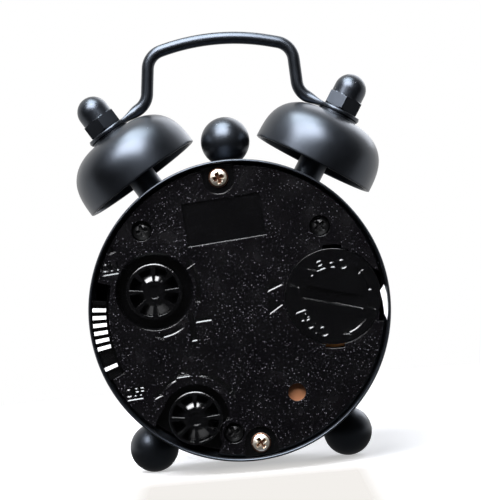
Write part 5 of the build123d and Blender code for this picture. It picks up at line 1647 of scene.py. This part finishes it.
@dataclass(frozen=True)
class DoorSizes:
    """Places of the marks on the battery door, in mm and degrees as seen from behind.

    Attributes:
        face: Depth of the marked face.
        mark_depth: Depth of the marks.
        spot: The door's axis.
        word_radius: Radius of the arc on which both words stand.
        word_height: Height of a capital.
        open_directions: Direction of each letter of OPEN on the arc.
        close_directions: Direction of each letter of CLOSE on the arc.
    """

    face: float = 10.0
    mark_depth: float = 0.13
    spot: Pair = (15.0, -0.2)
    word_radius: float = 5.55
    word_height: float = 1.55
    open_directions: tuple[float, ...] = (65.5, 84.0, 101.8, 118.6)
    close_directions: tuple[float, ...] = (247.0, 232.5, 219.0, 205.8, 191.8)


@dataclass(frozen=True)
class BatteryDoor:
    """The bayonet door with OPEN and CLOSE round its edge."""

    sizes: DoorSizes = DoorSizes()

    def marks(self) -> list[Mesh]:
        """Builds the door's words, arrows, index ticks and the line along its coin slot.

        Returns:
            The marks as closed meshes.
        """
        size = self.sizes
        words = [
            Word("OPEN", size.word_height, size.spot, radius=size.word_radius, directions=size.open_directions,
                 inward=True),
            Word("CLOSE", size.word_height, size.spot, radius=size.word_radius,
                 directions=size.close_directions),
        ]

        def tick(direction: float) -> np.ndarray:
            """The outline of an index tick near the door's edge."""
            out = spoke(direction)
            return strip(tuple(size.spot + out * 5.7), tuple(size.spot + out * 6.95), 0.22)

        slot_edge = strip((10.25, 0.49), (19.25, -2.72), 0.16)
        outlines = [*Arrow(size.spot, 5.9, 0.3, 2, 33, 0.8, 1).outlines(),
                    *Arrow(size.spot, 6.1, 0.3, 285, 315, 0.8, -1).outlines(),
                    tick(-24.8), tick(155.2), slot_edge]
        return [mesh for word in words for mesh in word.meshes()] + \
            [plate_mesh(outline) for outline in outlines]

    def build(self) -> None:
        """Makes the engraved door."""
        engraver = Engraver("battery_door", self.sizes.face, self.sizes.mark_depth)
        mesh = engraver.cut("engraved_battery_door", self.marks())
        piece("engraved_battery_door", mesh, Finishes.gloss, "door", ("battery_door",))


@dataclass(frozen=True)
class DialSizes:
    """Sizes of the printed dial, in mm.

    Attributes:
        face: Depth of the dial's face.
        ink: Thickness of the ink.
        numeral_radius: From the dial's middle to a number's middle.
        numeral_height: Height of a number.
        track_outer: Radius of the marks' outer ends.
        minute_mark: Length and width of a minute's mark.
        hour_mark: Length and width of an hour's mark.
    """

    face: float = -8.1
    ink: float = 0.03
    numeral_radius: float = 15.4
    numeral_height: float = 3.3
    track_outer: float = 20.2
    minute_mark: Pair = (1.0, 0.2)
    hour_mark: Pair = (1.8, 0.5)


@dataclass(frozen=True)
class Dial:
    """The dial's printed numbers and minute marks."""

    sizes: DialSizes = DialSizes()

    def marks(self) -> list[Mesh]:
        """Builds twelve upright numbers and sixty marks.

        Returns:
            The print as closed meshes.
        """
        size = self.sizes
        made = []
        for hour in range(1, 13):
            spot = tuple(size.numeral_radius * spoke(90 - 30 * hour))
            made.append(placed_letters(str(hour), size.numeral_height, spot, 0))
        for minute in range(60):
            out = spoke(6 * minute)
            length, width = size.hour_mark if minute % 5 == 0 else size.minute_mark
            bar = strip(tuple(out * (size.track_outer - length)), tuple(out * size.track_outer), width)
            made.append(plate_mesh(bar))
        return made

    def build(self) -> None:
        """Prints the dial."""
        size = self.sizes
        mesh = joined_mesh("dial_print", self.marks())

        def seat(points: np.ndarray) -> np.ndarray:
            """Presses the print flat onto the dial, as thick as its ink."""
            depth = size.face - np.where(points[:, 2] > 0, size.ink, 0.0)
            return PLACE.ahead(np.column_stack([points[:, :2], depth]))

        move_points(mesh, seat)
        piece("dial_print", tidy_mesh(mesh), Finishes.print_black, ROOT_BODY)


# Finishes of the nodes that keep their own shape
class Dresser:
    """Gives every node that keeps its own mesh its finish."""

    FINISHES: dict[Finish, tuple[str, ...]] = {
        Finishes.enamel: ("bezel", "bell_posts", "bell_washers"),
        Finishes.zinc: ("bell_screws", "ball_screws", "case_lugs"),
        Finishes.pane: ("lens",),
        Finishes.dial: ("dial", "dial_ring"),
        Finishes.hand_black: ("hour_hand", "minute_hand"),
        Finishes.hand_red: ("alarm_hand", "second_hand"),
        Finishes.housing: ("movement_front_plate", "movement_middle_plate", "train_bridge"),
        Finishes.acetal: ("cannon_pinion", "minute_wheel", "hour_wheel", "time_setting_gear", "alarm_wheel",
                          "alarm_idler", "alarm_setting_gear", "intermediate_wheel", "seconds_wheel",
                          "third_wheel", "centre_wheel", "coil_bobbin"),
        Finishes.bronze: ("contact_plus", "contact_minus", "slider_contact", "alarm_leaf"),
        Finishes.cell: ("coin_cell",),
        Finishes.lamination: ("stator",),
        Finishes.copper: ("coil_winding",),
        Finishes.board: ("circuit_board",),
        Finishes.crystal: ("quartz_crystal",),
        Finishes.resin: ("control_chip",),
        Finishes.buzzer: ("piezo_disc",),
        Finishes.magnet: ("rotor",),
    }

    def build(self) -> None:
        """Dresses the nodes."""
        for finish, names in self.FINISHES.items():
            for name in names:
                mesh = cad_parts[name].data
                mesh.materials.clear()
                mesh.materials.append(finish.build())
            log.info("%s: %s", finish.name, ", ".join(names))


# Studio
@dataclass(frozen=True)
class CameraPlace:
    """Where the photograph was taken from, in mm and degrees.

    Attributes:
        distance: From the case's rear rim to the camera.
        mm_per_pixel: Size of a pixel at the rear rim.
        aim: Where the picture's middle meets the rim's plane: right and up from the case's middle.
        rim_depth: Depth of the rear rim.
        roll: How far the clock leans to the left in the picture.
        sensor: Width of the camera's sensor.
    """

    distance: float = 300.0
    mm_per_pixel: float = 0.1582
    aim: Pair = (0.96, 9.5)
    rim_depth: float = CaseSizes.rear
    roll: float = 5.0
    sensor: float = 36.0


class Reach(Enum):
    """Which surfaces take a lamp's light."""

    ALL = "all"
    MATT = "matt ones, with no image of the lamp in shiny ones"
    SHINY = "shiny ones alone, as an image of the lamp"


@dataclass(frozen=True)
class Lamp:
    """A soft lamp that looks at the clock.

    Attributes:
        name: The lamp's name.
        spot: Its place in metres.
        size: Its width and height in metres.
        energy: Its power in watts.
        colour: Its colour as sRGB hex.
        reach: Which surfaces take its light.
    """

    name: str
    spot: tuple[float, float, float]
    size: Pair
    energy: float
    colour: str
    reach: Reach = Reach.ALL

    def build(self) -> None:
        """Hangs the lamp and turns it to the upper part of the case."""
        data = bpy.data.lights.new(self.name, "AREA")
        data.shape = "RECTANGLE"
        data.size, data.size_y = self.size
        data.energy = self.energy
        data.color = linear(self.colour)[:3]
        lamp = placed_object(self.name, data)
        aim = Vector((0, 0, PLACE.height * MM * 1.3))
        lamp.location = self.spot
        lamp.rotation_mode = "QUATERNION"
        lamp.rotation_quaternion = (aim - Vector(self.spot)).to_track_quat("-Z", "Y")
        lamp.visible_glossy = self.reach is not Reach.MATT
        lamp.visible_diffuse = self.reach is not Reach.SHINY


@dataclass(frozen=True)
class Studio:
    """A pale floor, soft lamps and the camera.

    The key and the fill light the clock plainly. The window and the skylight are seen in shiny
    surfaces alone: they draw the black pieces' highlights and put no more light on them.

    Attributes:
        camera: Where the camera stands.
        room_tone: How bright the unlit half of the room is in a mirror, where 1 is white.
        fill: Strength of the light from the pale half of the room.
        floor_half: Half the floor's width in metres.
        lamps: The lamps.
    """

    camera: CameraPlace = CameraPlace()
    room_tone: float = 0.03
    fill: float = 0.5
    floor_half: float = 1.5
    lamps: tuple[Lamp, ...] = (
        Lamp("key_above_left", (0.18, 0.35, 0.45), (0.45, 0.34), 5.2, "#fbfcff", Reach.MATT),
        Lamp("window_in_mirrors", (0.1, 0.36, 0.46), (0.5, 0.32), 12.5, "#fbfcff", Reach.SHINY),
        Lamp("skylight_in_mirrors", (0.06, 0.1, 0.6), (0.42, 0.3), 7.5, "#f2fbff", Reach.SHINY),
        Lamp("fill_front", (-0.3, -0.5, 0.4), (0.5, 0.5), 2.0, "#f2f6ff"),
    )

    def add_camera(self) -> None:
        """Sets the camera square to the clock's back, rolled as the photograph is."""
        place = self.camera
        aim = Vector(PLACE.upright(np.array([-place.aim[0], place.rim_depth, place.aim[1]])))
        back, right, up = Vector((0, 1, 0)), Vector((-1, 0, 0)), Vector((0, 0, 1))
        roll = radians(place.roll)
        rolled_up = up * cos(roll) + right * sin(roll)
        rolled_right = rolled_up.cross(back)
        data = bpy.data.cameras.new("photograph")
        data.sensor_width = place.sensor
        data.lens = place.distance / place.mm_per_pixel * data.sensor_width / max(PICTURE_SIZE)
        data.clip_start, data.clip_end = 0.01, 10.0
        camera = placed_object("photograph", data)
        turn = Matrix((rolled_right, rolled_up, back)).transposed().to_4x4()
        camera.matrix_world = Matrix.Translation(aim + back * place.distance * MM) @ turn
        bpy.context.scene.camera = camera

    def floor_to_the_eye(self, tree: Tree, place: Socket, card: Node) -> Node:
        """The floor as the camera sees it.

        By the clock it is card with a glow, which keeps the shadow, and further off it fades to plain
        white. Before the moulded back lies a cream strip about as wide as the case: painted shade, a little
        darker than the white.

        Args:
            tree: The floor's tree.
            place: Object coordinates in metres.
            card: The card's shader.

        Returns:
            The shader.
        """
        glow = add_node(tree, "ShaderNodeEmission", {"Color": linear("#ffffff"), "Strength": 0.45})
        bright = add_node(tree, "ShaderNodeAddShader", links={0: card, 1: glow})
        away = add_node(tree, "ShaderNodeVectorMath", {"operation": "LENGTH"}, {0: place}).outputs["Value"]
        fade = add_node(tree, "ShaderNodeMapRange", {"From Min": 0.05, "From Max": 0.2}, {"Value": away})
        white = add_node(tree, "ShaderNodeEmission", {"Color": linear("#ffffff"), "Strength": 1.0})
        faded = add_node(tree, "ShaderNodeMixShader", links={0: fade, 1: bright, 2: white})
        parts = add_node(tree, "ShaderNodeSeparateXYZ", links={0: place}).outputs
        before = add_node(tree, "ShaderNodeMapRange", {"From Min": 0.0, "From Max": 0.02},
                          {"Value": parts["Y"]})
        sideways = add_node(tree, "ShaderNodeMath", {"operation": "ABSOLUTE"}, {0: parts["X"]})
        within = add_node(tree, "ShaderNodeMapRange", {
            "From Min": 0.016, "From Max": 0.024, "To Min": 1.0, "To Max": 0.0}, {"Value": sideways})
        in_strip = add_node(tree, "ShaderNodeMath", {"operation": "MULTIPLY"}, {0: before, 1: within})
        # Painted shade: a cream strip before the back, a little darker than the white floor.
        cream = add_node(tree, "ShaderNodeEmission", {"Color": linear("#f3f0ec"), "Strength": 1.0})
        return add_node(tree, "ShaderNodeMixShader", links={0: in_strip, 1: faded, 2: cream})

    def floor_in_mirrors(self, tree: Tree, place: Socket) -> Node:
        """The floor as shiny surfaces show it: white, but dark on the camera's side, with painted shade by the
        clock.

        Args:
            tree: The floor's tree.
            place: Object coordinates in metres.

        Returns:
            The shader.
        """
        nearness = add_node(tree, "ShaderNodeSeparateXYZ", links={0: place}).outputs["Y"]
        half_lit = add_node(tree, "ShaderNodeMapRange", {
            "From Min": 0.012, "From Max": 0.05, "To Min": 1.0, "To Max": self.room_tone}, {"Value": nearness})
        away = add_node(tree, "ShaderNodeVectorMath", {"operation": "LENGTH"}, {0: place}).outputs["Value"]
        # Painted shade: darker near the clock.
        shaded = add_node(tree, "ShaderNodeMapRange", {"From Min": 0.03, "From Max": 0.1, "To Min": 0.12},
                          {"Value": away})
        level = add_node(tree, "ShaderNodeMath", {"operation": "MULTIPLY"}, {0: half_lit, 1: shaded})
        return add_node(tree, "ShaderNodeEmission", {"Color": linear("#ffffff")}, {"Strength": level})

    def add_floor(self) -> None:
        """Lays a pale matt floor that is white to the camera and keeps the clock's shadow."""
        half = self.floor_half
        mesh = bpy.data.meshes.new("floor")
        mesh.from_pydata([(-half, -half, 0), (half, -half, 0), (half, half, 0), (-half, half, 0)], [],
                         [(0, 1, 2, 3)])
        floor = placed_object("floor", mesh)
        material = bpy.data.materials.new("white card")
        tree = empty_tree(material)
        place = add_node(tree, "ShaderNodeTexCoord").outputs["Object"]
        # Card's tooth is finer than this in fact, and is drawn at 0.5 mm so that it can show.
        tooth = add_node(tree, "ShaderNodeTexNoise", {"Scale": per_mm(0.5), "Detail": 2.0}, {"Vector": place})
        relief = add_node(tree, "ShaderNodeBump", {"Strength": 0.3, "Distance": 0.02 * MM}, {"Height": tooth})
        card = add_node(tree, "ShaderNodeBsdfDiffuse", {"Color": linear("#f4f4f6")}, {"Normal": relief})
        direct = add_node(tree, "ShaderNodeMixShader", links={
            0: seen_directly(tree), 1: card, 2: self.floor_to_the_eye(tree, place, card)})
        glossy = add_node(tree, "ShaderNodeLightPath").outputs["Is Glossy Ray"]
        result = add_node(tree, "ShaderNodeMixShader", links={
            0: glossy, 1: direct, 2: self.floor_in_mirrors(tree, place)})
        add_node(tree, "ShaderNodeOutputMaterial", links={"Surface": result})
        mesh.materials.append(material)

    def add_world(self) -> None:
        """A white surround for the eye, and a dimmer one on the camera's side for fill and mirrors."""
        world = bpy.data.worlds.new("studio")
        tree = empty_tree(world)
        direction = add_node(tree, "ShaderNodeTexCoord").outputs["Generated"]
        depth = add_node(tree, "ShaderNodeSeparateXYZ", links={0: direction}).outputs["Y"]
        half_lit = add_node(tree, "ShaderNodeMapRange", {
            "From Min": -0.35, "From Max": 0.15, "To Min": 1.0, "To Max": self.room_tone}, {"Value": depth})
        dimmed = add_node(tree, "ShaderNodeMath", {"operation": "MULTIPLY", 1: self.fill}, {0: half_lit})
        fill = add_node(tree, "ShaderNodeBackground", {"Color": linear("#eef1f6")}, {"Strength": dimmed})
        mirrored = add_node(tree, "ShaderNodeBackground", {"Color": linear("#ffffff")}, {"Strength": half_lit})
        white = add_node(tree, "ShaderNodeBackground", {"Color": linear("#ffffff"), "Strength": 1.0})
        glossy = add_node(tree, "ShaderNodeLightPath").outputs["Is Glossy Ray"]
        lit = add_node(tree, "ShaderNodeMixShader", links={0: glossy, 1: fill, 2: mirrored})
        mix = add_node(tree, "ShaderNodeMixShader", links={0: seen_directly(tree), 1: lit, 2: white})
        add_node(tree, "ShaderNodeOutputWorld", links={"Surface": mix})
        bpy.context.scene.world = world

    def build(self) -> None:
        """Sets up the whole studio."""
        bpy.context.scene.view_settings.view_transform = "Standard"
        self.add_floor()
        self.add_world()
        for lamp in self.lamps:
            lamp.build()
        self.add_camera()


def main() -> None:
    """Dresses the clock, lights it and places the camera."""
    logging.basicConfig(level=logging.INFO, format="%(message)s")
    Dresser().build()
    Case().build()
    Bells().build()
    Handle().build()
    Balls().build()
    BackCover().build()
    BatteryDoor().build()
    Screws().build()
    Setters().build()
    Dial().build()
    Studio().build()


if __name__ == "__main__":
    main()
